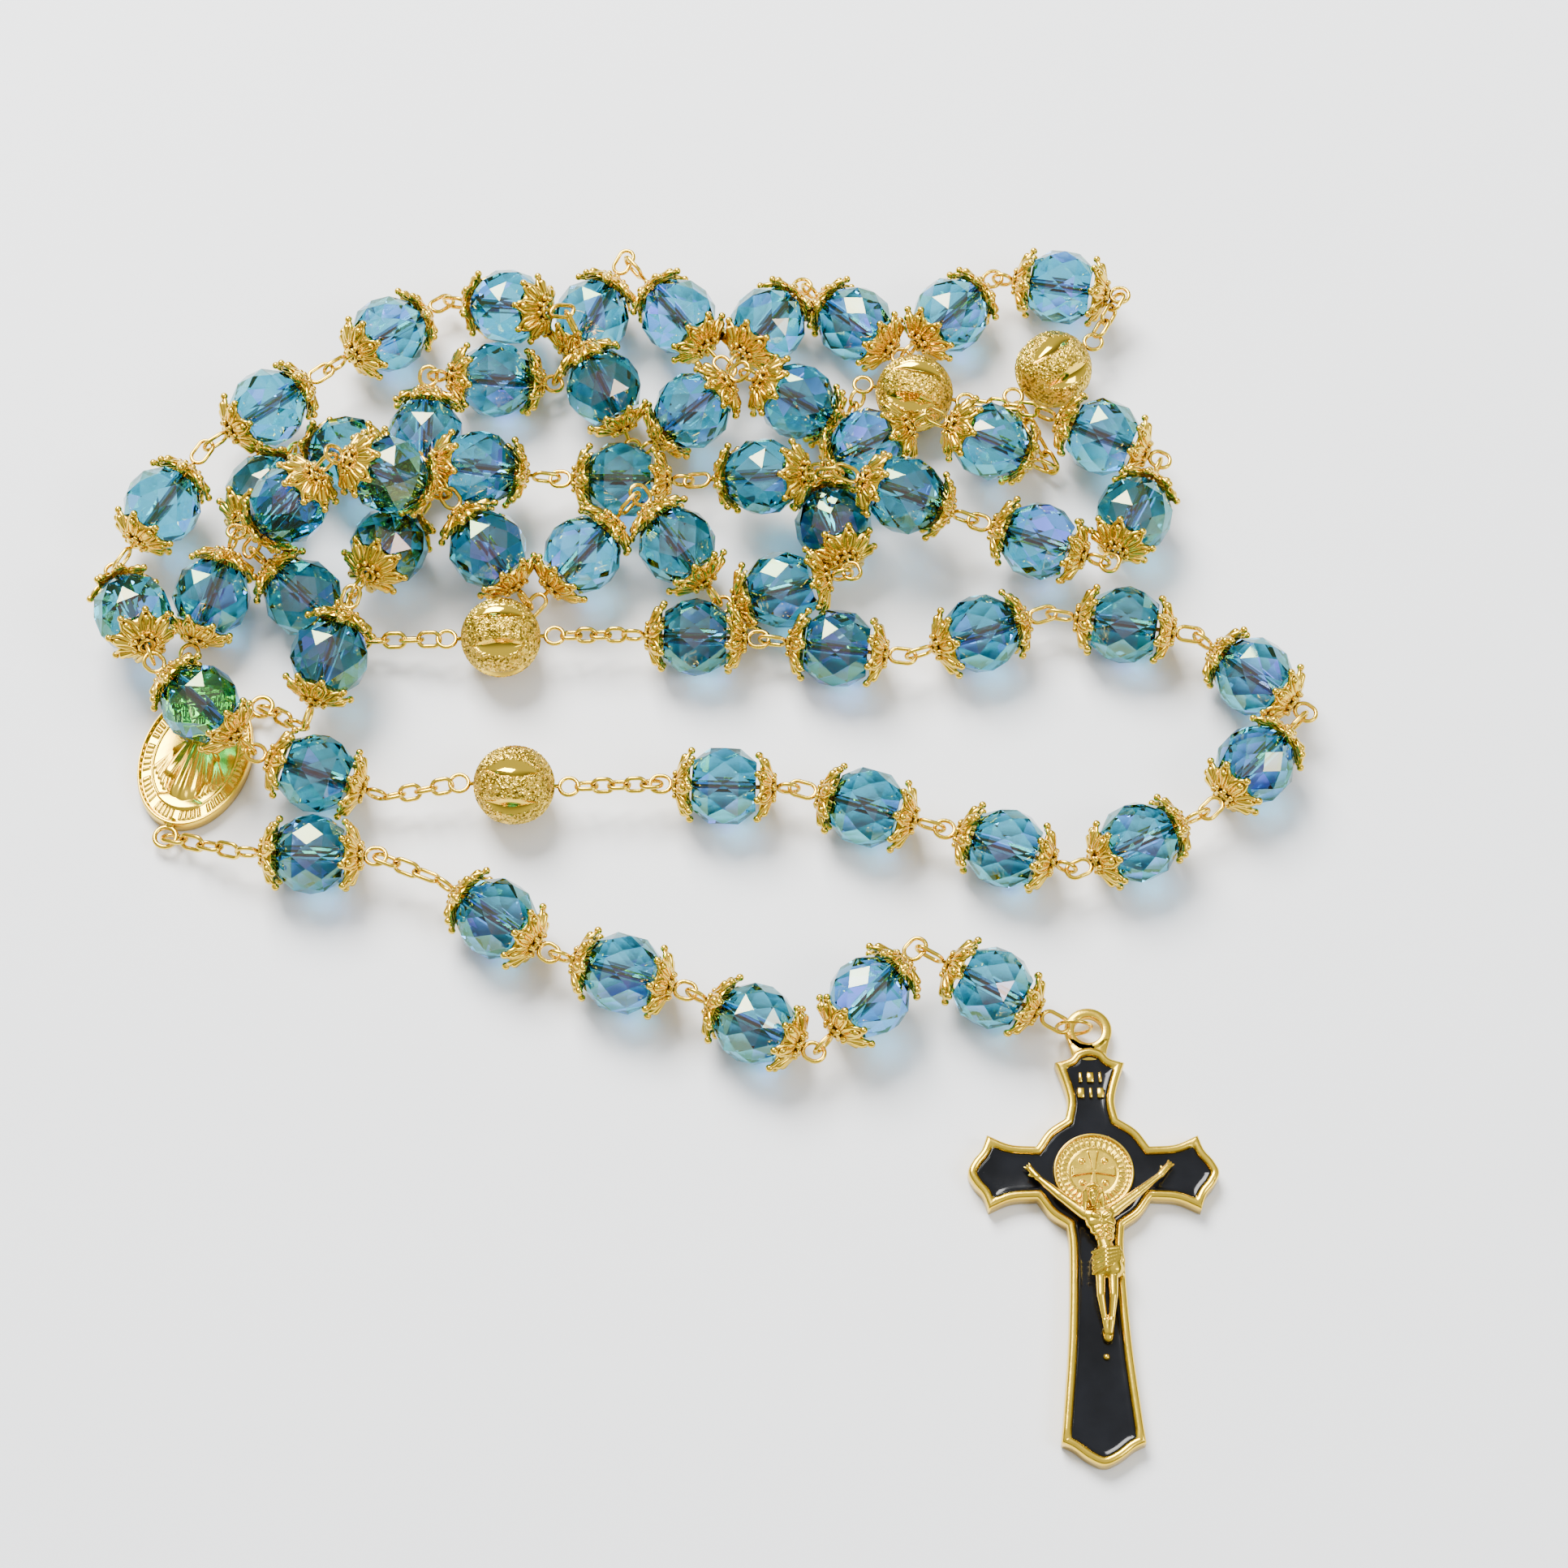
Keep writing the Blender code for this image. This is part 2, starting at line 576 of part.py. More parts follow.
def build_tail(medal, glass, finishes):
    """The pendant tail: each piece hangs on the one before it."""
    upper = chain_unit("tail_chain_upper", medal_ring_place("foot"), TAIL_FIRST[0], 4, finishes)
    first = bead_unit("tail", 1, *TAIL_FIRST, glass, finishes)
    lower = chain_unit("tail_chain_lower", TAIL_FIRST[1], TAIL_REST[0], 4, finishes)
    rest = [
        bead_unit("tail", i + 2, TAIL_REST[i], TAIL_REST[i + 1], glass, finishes)
        for i in range(len(TAIL_REST) - 1)
    ]
    end = Vector(TAIL_REST[-1])
    drop = math.asin((end.z - BAIL_HEIGHT - BAIL_THICKNESS / 2) / (2 * JUMP_RING_RADIUS))
    bail = end + Vector((math.cos(drop), 0, -math.sin(drop))) * 2 * JUMP_RING_RADIUS
    ring = ring_unit("crucifix_jump_ring", end, bail, finishes)
    bail.z = 0
    frame = new_object("crucifix_frame", scaled(frame_mesh()), finishes["gold"])
    place(frame, Matrix.Translation(bail) @ Matrix.Rotation(math.radians(CROSS_TURN), 4, "Z"))
    for name, mesh, finish in (
        ("crucifix_enamel", enamel_mesh(), finishes["enamel"]),
        ("crucifix_figure", figure_mesh(), finishes["gold"]),
    ):
        piece = new_object(name, scaled(mesh), finish)
        place(piece, Matrix.Translation(bail) @ Matrix.Rotation(math.radians(CROSS_TURN), 4, "Z"))
        hang(piece, frame)
    pieces = [medal, upper, first, lower, *rest, ring, frame]
    for holder, piece in reversed(list(zip(pieces, pieces[1:]))):
        hang(piece, holder)


def main():
    clear_scene()
    origin = bpy.data.objects.new("rosary", None)
    bpy.context.scene.collection.objects.link(origin)
    origin.location = (-LAYOUT_CENTRE[0] * MM, -LAYOUT_CENTRE[1] * MM, 0)
    finishes = {
        "gold": material("gold_plate", (0.93, 0.68, 0.24), 0.18, 1.0),
        "glass": material("blue_glass", (0.06, 0.38, 0.52), 0.05, 0.0, 0.6),
        "enamel": material("black_enamel", (0.012, 0.013, 0.018), 0.15, 0.0),
    }
    glass = scaled(glass_mesh())
    build_loop(glass, finishes)
    medal = build_medal(finishes)
    build_tail(medal, glass, finishes)
    bpy.data.meshes.remove(glass)


main()
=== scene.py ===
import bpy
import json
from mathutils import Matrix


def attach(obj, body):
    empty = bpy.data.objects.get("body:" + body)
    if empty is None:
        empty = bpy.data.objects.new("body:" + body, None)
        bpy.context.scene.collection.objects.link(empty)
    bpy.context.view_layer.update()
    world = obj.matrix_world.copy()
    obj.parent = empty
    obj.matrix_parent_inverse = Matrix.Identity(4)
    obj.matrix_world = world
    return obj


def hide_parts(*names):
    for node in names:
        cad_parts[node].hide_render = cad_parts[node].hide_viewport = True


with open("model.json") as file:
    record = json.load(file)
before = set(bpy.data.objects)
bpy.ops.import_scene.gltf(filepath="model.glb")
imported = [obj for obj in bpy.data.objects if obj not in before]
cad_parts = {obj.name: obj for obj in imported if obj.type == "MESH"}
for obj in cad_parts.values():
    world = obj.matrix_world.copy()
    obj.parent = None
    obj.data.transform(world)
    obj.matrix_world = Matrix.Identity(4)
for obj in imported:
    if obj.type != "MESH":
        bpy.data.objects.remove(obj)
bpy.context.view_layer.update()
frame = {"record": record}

import json
import math
import random
from types import SimpleNamespace

import bmesh
import bpy
import numpy as np
from bpy.props import FloatProperty, FloatVectorProperty, IntProperty, PointerProperty
from mathutils import Matrix, Vector
from mathutils.geometry import delaunay_2d_cdt

bl_info = {
    "name": "Glass Rosary",
    "version": (1, 0, 0),
    "blender": (4, 5, 0),
    "location": "3D View > Sidebar > Rosary",
    "description": "Builds a rosary of faceted glass beads, filigree caps, chain, medal and crucifix",
    "category": "Add Mesh",
}

BODY_OF = {node: body for body, nodes in frame["record"]["behaviour"]["bodies"].items() for node in nodes}
MM = 0.001
DECIMALS = 5
UP = Vector((0, 0, 1))

# The strand's route in millimetres: the joint between each link and the next, in order from the medal round the
# loop and back, then down the tail to the crucifix.
LAYOUT_CENTRE = (-8.16, -3.05)
DECADE_1 = [
    (-48.5, 6, 4.5), (-44, 19.5, 8), (-38, 33.5, 2.1), (-37.5, 47, 6), (-24.5, 48, 2.7), (-17, 62, 5.5),
    (-6, 48, 5.5), (2, 59.5, 4), (12.5, 50.5, 4), (22.5, 60.5, 4), (36, 58, 4.5),
]
DECADE_2 = [
    (28.5, 38, 1.5), (15.5, 40.5, 8.5), (3, 37, 2.6), (7, 23.5, 5.5), (-6.5, 21, 3), (-15, 32, 7),
    (-26, 20.5, 3.1), (-34.5, 31, 8), (-45.5, 31, 16.5), (-55, 26, 6), (-44.5, 17, 2.6),
]
DECADE_3 = [
    (-16.5, 17, 4), (-2.5, 16.5, 4), (12.5, 14.5, 4), (27, 19.5, 4), (42, 17, 4), (53, 8, 4),
    (42.5, -3, 4), (29, -9.5, 4), (16, -5, 4), (1.5, -0.5, 4), (-12.5, 0, 4),
]
DECADE_4 = [
    (-40, -1, 3), (-53, 2.5, 6), (-63.5, 11.5, 8.5), (-69, 24, 5), (-60.5, 38, 6), (-48.5, 47.5, 6),
    (-36.5, 58.5, 2.5), (-23, 53, 9), (-15.5, 39.5, 2), (-4.5, 46, 8.5), (6.5, 43, 2),
]
DECADE_5 = [
    (26.5, 43, 5.5), (39.5, 37.5, 4.5), (33.5, 24.5, 5.5), (20, 29.5, 5.5), (6, 32.5, 10.5), (-9.5, 35, 4.5),
    (-23.5, 35.5, 4), (-39, 34.5, 9.5), (-51.5, 40, 2.6), (-56.5, 28, 6), (-61, 15.5, 2.6),
]
TAIL_FIRST = [(-54.5, -7.5, 4), (-40.5, -8, 4)]
TAIL_REST = [
    (-34.5, -10.5, 4), (-23, -18.5, 4), (-9.5, -22.5, 4), (3, -29, 4), (13, -18.5, 5.5), (26.9, -25.6, 3),
]
# Each gold ball's centre, the angle of its pin from +X, and how many links hang from each of its eyes
BALLS = [((28.6, 49, 4), 218), ((-29, 16.7, 4), 2), ((-27.1, -0.1, 4), 178), ((13.8, 46, 4), -11)]
BALL_CHAINS = [(3, 4), (5, 4), (5, 4), (3, 4)]
MEDAL_CENTRE = (-59.8, 4.4)
MEDAL_TURN = -15
MEDAL_RINGS = {"left": (-4.7, 7.2), "right": (4.7, 7.2), "foot": (0, -9.3)}
MEDAL_RING_HEIGHT = 1.2


# ---- sizes and colours


class GlassSettings(bpy.types.PropertyGroup):
    diameter: FloatProperty(name="Diameter", description="Across the girdle", default=0.008, unit="LENGTH")
    length: FloatProperty(name="Length", description="Along the hole", default=0.0064, unit="LENGTH")
    facets: IntProperty(name="Facets", description="Diamond facets round the girdle", default=10, min=6)
    hole: FloatProperty(name="Hole", description="Diameter of the hole", default=0.00105, unit="LENGTH")
    colour: FloatVectorProperty(
        name="Colour", description="Body colour of the glass", default=(0.02, 0.31, 0.44), subtype="COLOR"
    )
    flash: FloatVectorProperty(
        name="Flash", description="Tint of the rainbow coat on some facets", default=(0.16, 0.24, 1.0),
        subtype="COLOR",
    )


class CapSettings(bpy.types.PropertyGroup):
    petals: IntProperty(name="Petals", description="Petals round a cap", default=8, min=5)
    diameter: FloatProperty(name="Diameter", description="Across the petal tips", default=0.0069, unit="LENGTH")
    rib: FloatProperty(name="Rib", description="Thickness of a petal's rib", default=0.0005, unit="LENGTH")
    granule: FloatProperty(name="Granule", description="Diameter of a granule", default=0.0008, unit="LENGTH")


class WireSettings(bpy.types.PropertyGroup):
    pin: FloatProperty(name="Pin wire", description="Diameter of the eye pins", default=0.00045, unit="LENGTH")
    eye: FloatProperty(name="Eye", description="Outer diameter of an eye", default=0.00235, unit="LENGTH")
    chain: FloatProperty(name="Chain wire", description="Diameter of its wire", default=0.00046, unit="LENGTH")
    link: FloatProperty(name="Link width", description="Outer width of a chain link", default=0.0019, unit="LENGTH")


class BallSettings(bpy.types.PropertyGroup):
    diameter: FloatProperty(name="Diameter", description="Of the gold balls", default=0.0081, unit="LENGTH")
    cuts: IntProperty(name="Cuts", description="Bright leaf-shaped cuts round a ball", default=6, min=3)
    depth: FloatProperty(name="Depth", description="Depth of a cut", default=0.00042, unit="LENGTH")
    grain: FloatProperty(name="Grain", description="Height of the frosting's grains", default=0.00006, unit="LENGTH")


class GoldSettings(bpy.types.PropertyGroup):
    colour: FloatVectorProperty(
        name="Gold", description="Colour of the polished gold plate", default=(0.84, 0.56, 0.045), subtype="COLOR"
    )
    # This colour is painted shade: ambient occlusion lays it into sheltered places of the gold
    recess: FloatVectorProperty(
        name="Recess", description="Colour of the gold in its recesses", default=(0.2, 0.135, 0.015), subtype="COLOR"
    )
    enamel: FloatVectorProperty(
        name="Enamel", description="Colour of the crucifix's inlay", default=(0.002, 0.0022, 0.003), subtype="COLOR"
    )


class StageSettings(bpy.types.PropertyGroup):
    cloth: FloatVectorProperty(
        name="Cloth", description="Colour of the surface under the rosary", default=(0.93, 0.935, 0.945),
        subtype="COLOR",
    )
    height: FloatProperty(name="Camera height", description="Above the surface", default=0.341, unit="LENGTH")
    tilt: FloatProperty(name="Tilt", description="Below the horizon", default=math.radians(64), unit="ROTATION")
    lens: FloatProperty(name="Lens", description="Focal length on a 36 mm frame", default=85.714, unit="CAMERA")


def settings(name):
    """A group's values, with its lengths in millimetres."""
    group = getattr(bpy.context.scene, f"rosary_{name}")
    values = {key: getattr(group, key) for key in group.__annotations__}
    for key in values:
        if group.bl_rna.properties[key].unit == "LENGTH":
            values[key] = round(values[key] / MM, DECIMALS)
    return SimpleNamespace(**values)


# ---- shapes: each is (points, faces, smooth), in millimetres


def shape(points, faces, smooth=True):
    return np.asarray(points, float).reshape(-1, 3), [tuple(face) for face in faces], smooth


def moved(item, matrix):
    points, faces, smooth = item
    turn = np.array(matrix)
    return points @ turn[:3, :3].T + turn[:3, 3], faces, smooth


def placed(items, matrix):
    return [moved(item, matrix) for item in items]


def grid_faces(rows, columns, wrap_rows=False, wrap_columns=True):
    faces = []
    for i in range(rows if wrap_rows else rows - 1):
        for j in range(columns if wrap_columns else columns - 1):
            here, across = i * columns + j, i * columns + (j + 1) % columns
            after = (i + 1) % rows * columns
            faces.append((here, across, after + (j + 1) % columns, after + j))
    return faces


def skin_faces(rows, sides, closed):
    """Faces over rings in a row, joined end to end, or with a face at each end."""
    faces = grid_faces(rows, sides, wrap_rows=closed)
    if not closed:
        last = (rows - 1) * sides
        faces += [tuple(reversed(range(sides))), tuple(range(last, last + sides))]
    return faces


def turned(profile, sides, closed=False, smooth=True):
    """A shape turned about X from (x, radius) pairs. It is capped unless the profile is closed."""
    turns = 2 * np.pi * np.arange(sides) / sides
    points = [(x, r * math.cos(t), r * math.sin(t)) for x, r in profile for t in turns]
    return shape(points, skin_faces(len(profile), sides, closed), smooth)


def tube(path, radius, sides=8, closed=False):
    """A round wire along a path. The radius is one number, or one for each point of the path."""
    path = np.asarray(path, float)
    count = len(path)
    radii = np.broadcast_to(radius, count)
    if closed:
        along = np.roll(path, -1, 0) - np.roll(path, 1, 0)
    else:
        along = np.gradient(path, axis=0)
    along /= np.linalg.norm(along, axis=1)[:, None]
    side = np.cross(along[0], (0.3, 0.5, 0.81))
    points = []
    for i in range(count):
        side = side - along[i] * side.dot(along[i])
        side /= np.linalg.norm(side)
        other = np.cross(along[i], side)
        turns = 2 * np.pi * np.arange(sides) / sides
        points.append(path[i] + radii[i] * (np.outer(np.cos(turns), side) + np.outer(np.sin(turns), other)))
    return shape(np.concatenate(points), skin_faces(count, sides, closed))


def granule(centre, radius, rings=5, sides=8):
    turns = np.pi * np.arange(1, rings) / rings
    profile = [(-radius, radius * 0.05)]
    profile += [(-radius * math.cos(t), radius * math.sin(t)) for t in turns]
    profile += [(radius, radius * 0.05)]
    return moved(turned(profile, sides), Matrix.Translation(centre))


def oval(centre, along, across, length, width, wire, steps=20, sides=8):
    """A closed link with straight flanks and round ends, whose wire's middle line is length by width."""
    bend = width / 2
    straight = max(length / 2 - bend, 0)
    turns = 2 * np.pi * (np.arange(steps) + 0.5) / steps
    path = [
        centre + along * (math.copysign(straight, math.cos(t)) + bend * math.cos(t)) + across * bend * math.sin(t)
        for t in turns
    ]
    return tube(path, wire / 2, sides, closed=True)


def capsule(start, end, radius_start, radius_end, sides=12, steps=4):
    """A limb with round ends, from start to end."""
    start, end = Vector(start), Vector(end)
    along = (end - start).normalized()
    path, radii = [], []
    for i in range(steps):
        t = math.pi / 2 * (i + 0.15) / steps
        path.append(start - along * radius_start * math.cos(t))
        radii.append(radius_start * math.sin(t))
    path += [start, end]
    radii += [radius_start, radius_end]
    for i in reversed(range(steps)):
        t = math.pi / 2 * (i + 0.15) / steps
        path.append(end + along * radius_end * math.cos(t))
        radii.append(radius_end * math.sin(t))
    return tube(path, radii, sides)


def piece(name, items, finish, body, replaced=(), values=None):
    """One object of the rosary from shapes in millimetres, riding on its body."""
    points, faces, smooth, tints = [], [], [], []
    total = 0
    for number, (item_points, item_faces, item_smooth) in enumerate(items):
        points.append(item_points)
        faces += [tuple(index + total for index in face) for face in item_faces]
        smooth += item_smooth if isinstance(item_smooth, list) else [item_smooth] * len(item_faces)
        if values is not None:
            tints += list(values[number])
        total += len(item_points)
    centre = np.array([-LAYOUT_CENTRE[0], -LAYOUT_CENTRE[1], 0])
    mesh = bpy.data.meshes.new(name)
    mesh.from_pydata(((np.concatenate(points) + centre) * MM).tolist(), [], faces)
    mesh.polygons.foreach_set("use_smooth", smooth)
    if values is not None:
        mesh.attributes.new("tint", "FLOAT", "FACE").data.foreach_set("value", tints)
    tidy = bmesh.new()
    tidy.from_mesh(mesh)
    bmesh.ops.recalc_face_normals(tidy, faces=tidy.faces)
    tidy.to_mesh(mesh)
    tidy.free()
    mesh.materials.append(finish)
    obj = bpy.data.objects.new(name, mesh)
    bpy.context.scene.collection.objects.link(obj)
    return settled(obj, body, replaced)


def settled(obj, body, replaced=()):
    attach(obj, body)
    if replaced:
        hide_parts(*replaced)
    return obj


def link_frame(start, end):
    """Turns X to run from start to end, with Y level, and moves to start."""
    along = (end - start).normalized()
    side = UP.cross(along).normalized()
    turn = Matrix((along, side, along.cross(side))).transposed().to_4x4()
    return Matrix.Translation(start) @ turn


# ---- finishes


def new_finish(name):
    finish = bpy.data.materials.new(name)
    finish.use_nodes = True
    nodes = finish.node_tree.nodes
    return finish, nodes, finish.node_tree.links, nodes["Principled BSDF"]


def texture_place(nodes):
    """Object coordinates, so that a pattern's scale is in cells per metre."""
    return nodes.new("ShaderNodeTexCoord").outputs["Object"]


def ramp(nodes, links, factor, stops):
    made = nodes.new("ShaderNodeValToRGB")
    for number, (position, colour) in enumerate(stops):
        stop = made.color_ramp.elements[number] if number < 2 else made.color_ramp.elements.new(position)
        stop.position = position
        stop.color = (*colour, 1)
    links.new(factor, made.inputs["Fac"])
    return made.outputs["Color"]


def noise(nodes, links, vector, scale, detail=3.0):
    made = nodes.new("ShaderNodeTexNoise")
    made.inputs["Scale"].default_value = scale
    made.inputs["Detail"].default_value = detail
    links.new(vector, made.inputs["Vector"])
    return made.outputs["Fac"]


def roughen(nodes, links, value, shader, low, high):
    made = nodes.new("ShaderNodeMapRange")
    made.inputs["To Min"].default_value = low
    made.inputs["To Max"].default_value = high
    links.new(value, made.inputs["Value"])
    links.new(made.outputs["Result"], shader.inputs["Roughness"])


def bump(nodes, links, height, shader, strength, distance):
    made = nodes.new("ShaderNodeBump")
    made.inputs["Strength"].default_value = strength
    made.inputs["Distance"].default_value = distance
    links.new(height, made.inputs["Height"])
    links.new(made.outputs["Normal"], shader.inputs["Normal"])


def polished_gold(name, roughness=0.16, grain=0.12):
    """Bright plate whose colour is darkened where it is sheltered, as painted shade from ambient occlusion, with
    faint casting grain.
    """
    gold = settings("gold")
    finish, nodes, links, shader = new_finish(name)
    shader.inputs["Metallic"].default_value = 1.0
    vector = texture_place(nodes)
    # Painted shade: ambient occlusion darkens the base colour in recesses and between parts
    painted_shade_mask = nodes.new("ShaderNodeAmbientOcclusion")
    painted_shade_mask.inputs["Distance"].default_value = 0.0009
    painted_shade_mask.samples = 6
    colour = ramp(nodes, links, painted_shade_mask.outputs["AO"], [(0.1, gold.recess), (0.6, gold.colour)])
    links.new(colour, shader.inputs["Base Color"])
    roughen(nodes, links, noise(nodes, links, vector, 900), shader, roughness * 0.7, roughness * 1.5)
    bump(nodes, links, noise(nodes, links, vector, 2600), shader, grain, 0.00004)
    return finish


def frosted_gold(name):
    """Sand-blasted gold with painted glitter: its fine grains are painted from dark to bright, with polished cuts
    where the attribute cut is one.
    """
    gold = settings("gold")
    finish, nodes, links, shader = new_finish(name)
    shader.inputs["Metallic"].default_value = 1.0
    vector = texture_place(nodes)
    grain = nodes.new("ShaderNodeTexVoronoi")
    grain.inputs["Scale"].default_value = 4200
    links.new(vector, grain.inputs["Vector"])
    cut = nodes.new("ShaderNodeAttribute")
    cut.attribute_name = "cut"
    plain = nodes.new("ShaderNodeMath")
    plain.operation = "SUBTRACT"
    plain.inputs[0].default_value = 1.0
    links.new(cut.outputs["Fac"], plain.inputs[1])
    height = nodes.new("ShaderNodeMath")
    height.operation = "MULTIPLY"
    links.new(grain.outputs["Distance"], height.inputs[0])
    links.new(plain.outputs["Value"], height.inputs[1])
    bump(nodes, links, height.outputs["Value"], shader, 0.9, 0.00009)
    roughen(nodes, links, plain.outputs["Value"], shader, 0.08, 0.28)
    # Painted glitter: each grain's colour runs from a painted dark speck to a painted glint, standing in for sparkle
    sparks = nodes.new("ShaderNodeSeparateColor")
    links.new(grain.outputs["Color"], sparks.inputs["Color"])
    shade = tuple(gold.colour)
    painted_dark_grain = tuple(channel * 0.3 for channel in shade)
    painted_glint = tuple(min(1.0, channel * 1.15 + 0.06) for channel in shade)
    painted_glitter = ramp(nodes, links, sparks.outputs["Red"], [(0.15, painted_dark_grain), (0.6, shade), (0.92, painted_glint)])
    blend = nodes.new("ShaderNodeMix")
    blend.data_type = "RGBA"
    links.new(cut.outputs["Fac"], blend.inputs["Factor"])
    links.new(painted_glitter, blend.inputs["A"])
    blend.inputs["B"].default_value = (*shade, 1)
    links.new(blend.outputs["Result"], shader.inputs["Base Color"])
    return finish


def cut_glass(name):
    """Clear teal glass with a thin rainbow coat, whose facets differ a little in tint."""
    glass = settings("glass")
    finish, nodes, links, shader = new_finish(name)
    shader.inputs["Transmission Weight"].default_value = 1.0
    shader.inputs["IOR"].default_value = 1.5
    shader.inputs["Thin Film Thickness"].default_value = 420.0
    shader.inputs["Thin Film IOR"].default_value = 1.75
    tint = nodes.new("ShaderNodeAttribute")
    tint.attribute_name = "tint"
    pale = tuple(min(1.0, channel * 1.12 + 0.05) for channel in glass.colour)
    deep = tuple(channel * 0.86 for channel in glass.colour)
    colour = ramp(
        nodes, links, tint.outputs["Fac"],
        [(0.0, deep), (0.45, tuple(glass.colour)), (0.84, pale), (0.93, tuple(glass.flash))],
    )
    links.new(colour, shader.inputs["Base Color"])
    vector = texture_place(nodes)
    roughen(nodes, links, noise(nodes, links, vector, 700), shader, 0.0, 0.04)
    return finish


def black_enamel(name):
    """Glossy fired enamel that sinks a little between its edges, with soft ripples in its surface."""
    gold = settings("gold")
    finish, nodes, links, shader = new_finish(name)
    shader.inputs["Coat Weight"].default_value = 0.2
    shader.inputs["Coat Roughness"].default_value = 0.03
    shader.inputs["Specular IOR Level"].default_value = 0.18
    vector = texture_place(nodes)
    shade = tuple(gold.enamel)
    colour = ramp(
        nodes, links, noise(nodes, links, vector, 260), [(0.3, shade), (0.75, tuple(3 * c for c in shade))]
    )
    links.new(colour, shader.inputs["Base Color"])
    roughen(nodes, links, noise(nodes, links, vector, 420), shader, 0.08, 0.22)
    bump(nodes, links, noise(nodes, links, vector, 220, 1.0), shader, 0.35, 0.0004)
    return finish


def finish_for(name, maker, *values):
    return bpy.data.materials.get(name) or maker(name, *values)


def gold_plate():
    return finish_for("polished_gold_plate", polished_gold)


# ---- the strand's links


def eye_radius():
    wire = settings("wire")
    return (wire.eye - wire.pin) / 2


def links_of_strand():
    """Each bead's link: (group, number, start, end, glass node, pin node). A piled group shares one node."""
    found = []
    for decade, joints in enumerate((DECADE_1, DECADE_2, DECADE_3, DECADE_4, DECADE_5), 1):
        for number in range(1, len(joints)):
            ends = Vector(joints[number - 1]), Vector(joints[number])
            if decade == 3:
                nodes = f"decade_3_glass_{number}", f"decade_3_pin_{number}"
                found.append((f"decade_3_{number}", number, *ends, *nodes))
            else:
                group = f"decade_{decade}_{'first' if number <= 5 else 'last'}_five"
                found.append((group, number, *ends, group, group))
    tail = [(TAIL_FIRST[0], TAIL_FIRST[1]), *zip(TAIL_REST, TAIL_REST[1:])]
    for number, (start, end) in enumerate(tail, 1):
        nodes = f"tail_glass_{number}", f"tail_pin_{number}"
        found.append((f"tail_{number}", number, Vector(start), Vector(end), *nodes))
    return found


def bead_place(start, end, roll):
    """Where a bead sits: the middle of its link's clear length, rolled about its hole."""
    middle = ((end - start).length + eye_radius()) / 2
    return link_frame(start, end) @ Matrix.Translation((middle, 0, 0)) @ Matrix.Rotation(roll, 4, "X")


def groups_of_strand():
    """The links gathered by group, each with its own roll."""
    dice = random.Random(7)
    groups = {}
    for group, _, start, end, glass_node, pin_node in links_of_strand():
        roll = dice.uniform(0, 2 * math.pi)
        groups.setdefault((group, glass_node, pin_node), []).append((start, end, roll))
    return groups


GLASS_END = 0.64
GLASS_SHOULDER = 0.47


def glass_shape():
    """A rondelle with a row of diamonds round its girdle, two rows of triangles each side, and flat ends."""
    glass = settings("glass")
    count, half, radius = glass.facets, glass.length / 2, glass.diameter / 2
    step = 2 * math.pi / count
    shoulder = radius * math.cos(step / 2)

    def ring(x, r, shift):
        return [(x, r * math.cos(step * (i + shift)), r * math.sin(step * (i + shift))) for i in range(count)]

    end = radius * GLASS_END
    rows = [ring(-half, glass.hole / 2, 0), ring(-half, end, 0), ring(-half * GLASS_SHOULDER, shoulder, 0.5)]
    rows += [ring(0, radius, 0)]
    rows += [ring(half * GLASS_SHOULDER, shoulder, 0.5), ring(half, end, 0), ring(half, glass.hole / 2, 0)]
    hole_start, end_start, low, girdle, high, end_stop, hole_stop = [count * i for i in range(7)]
    faces = []
    for i in range(count):
        j = (i + 1) % count
        before = (i - 1) % count
        faces.append((low + i, girdle + j, high + i, girdle + i))
        for side, tip in ((low, end_start), (high, end_stop)):
            faces.append((side + before, side + i, girdle + i))
            faces.append((side + before, side + i, tip + i))
            faces.append((tip + i, tip + j, side + i))
        faces.append((hole_start + i, hole_start + j, end_start + j, end_start + i))
        faces.append((hole_stop + i, hole_stop + j, end_stop + j, end_stop + i))
        faces.append((hole_start + i, hole_start + j, hole_stop + j, hole_stop + i))
    return shape([point for row in rows for point in row], faces, smooth=False)


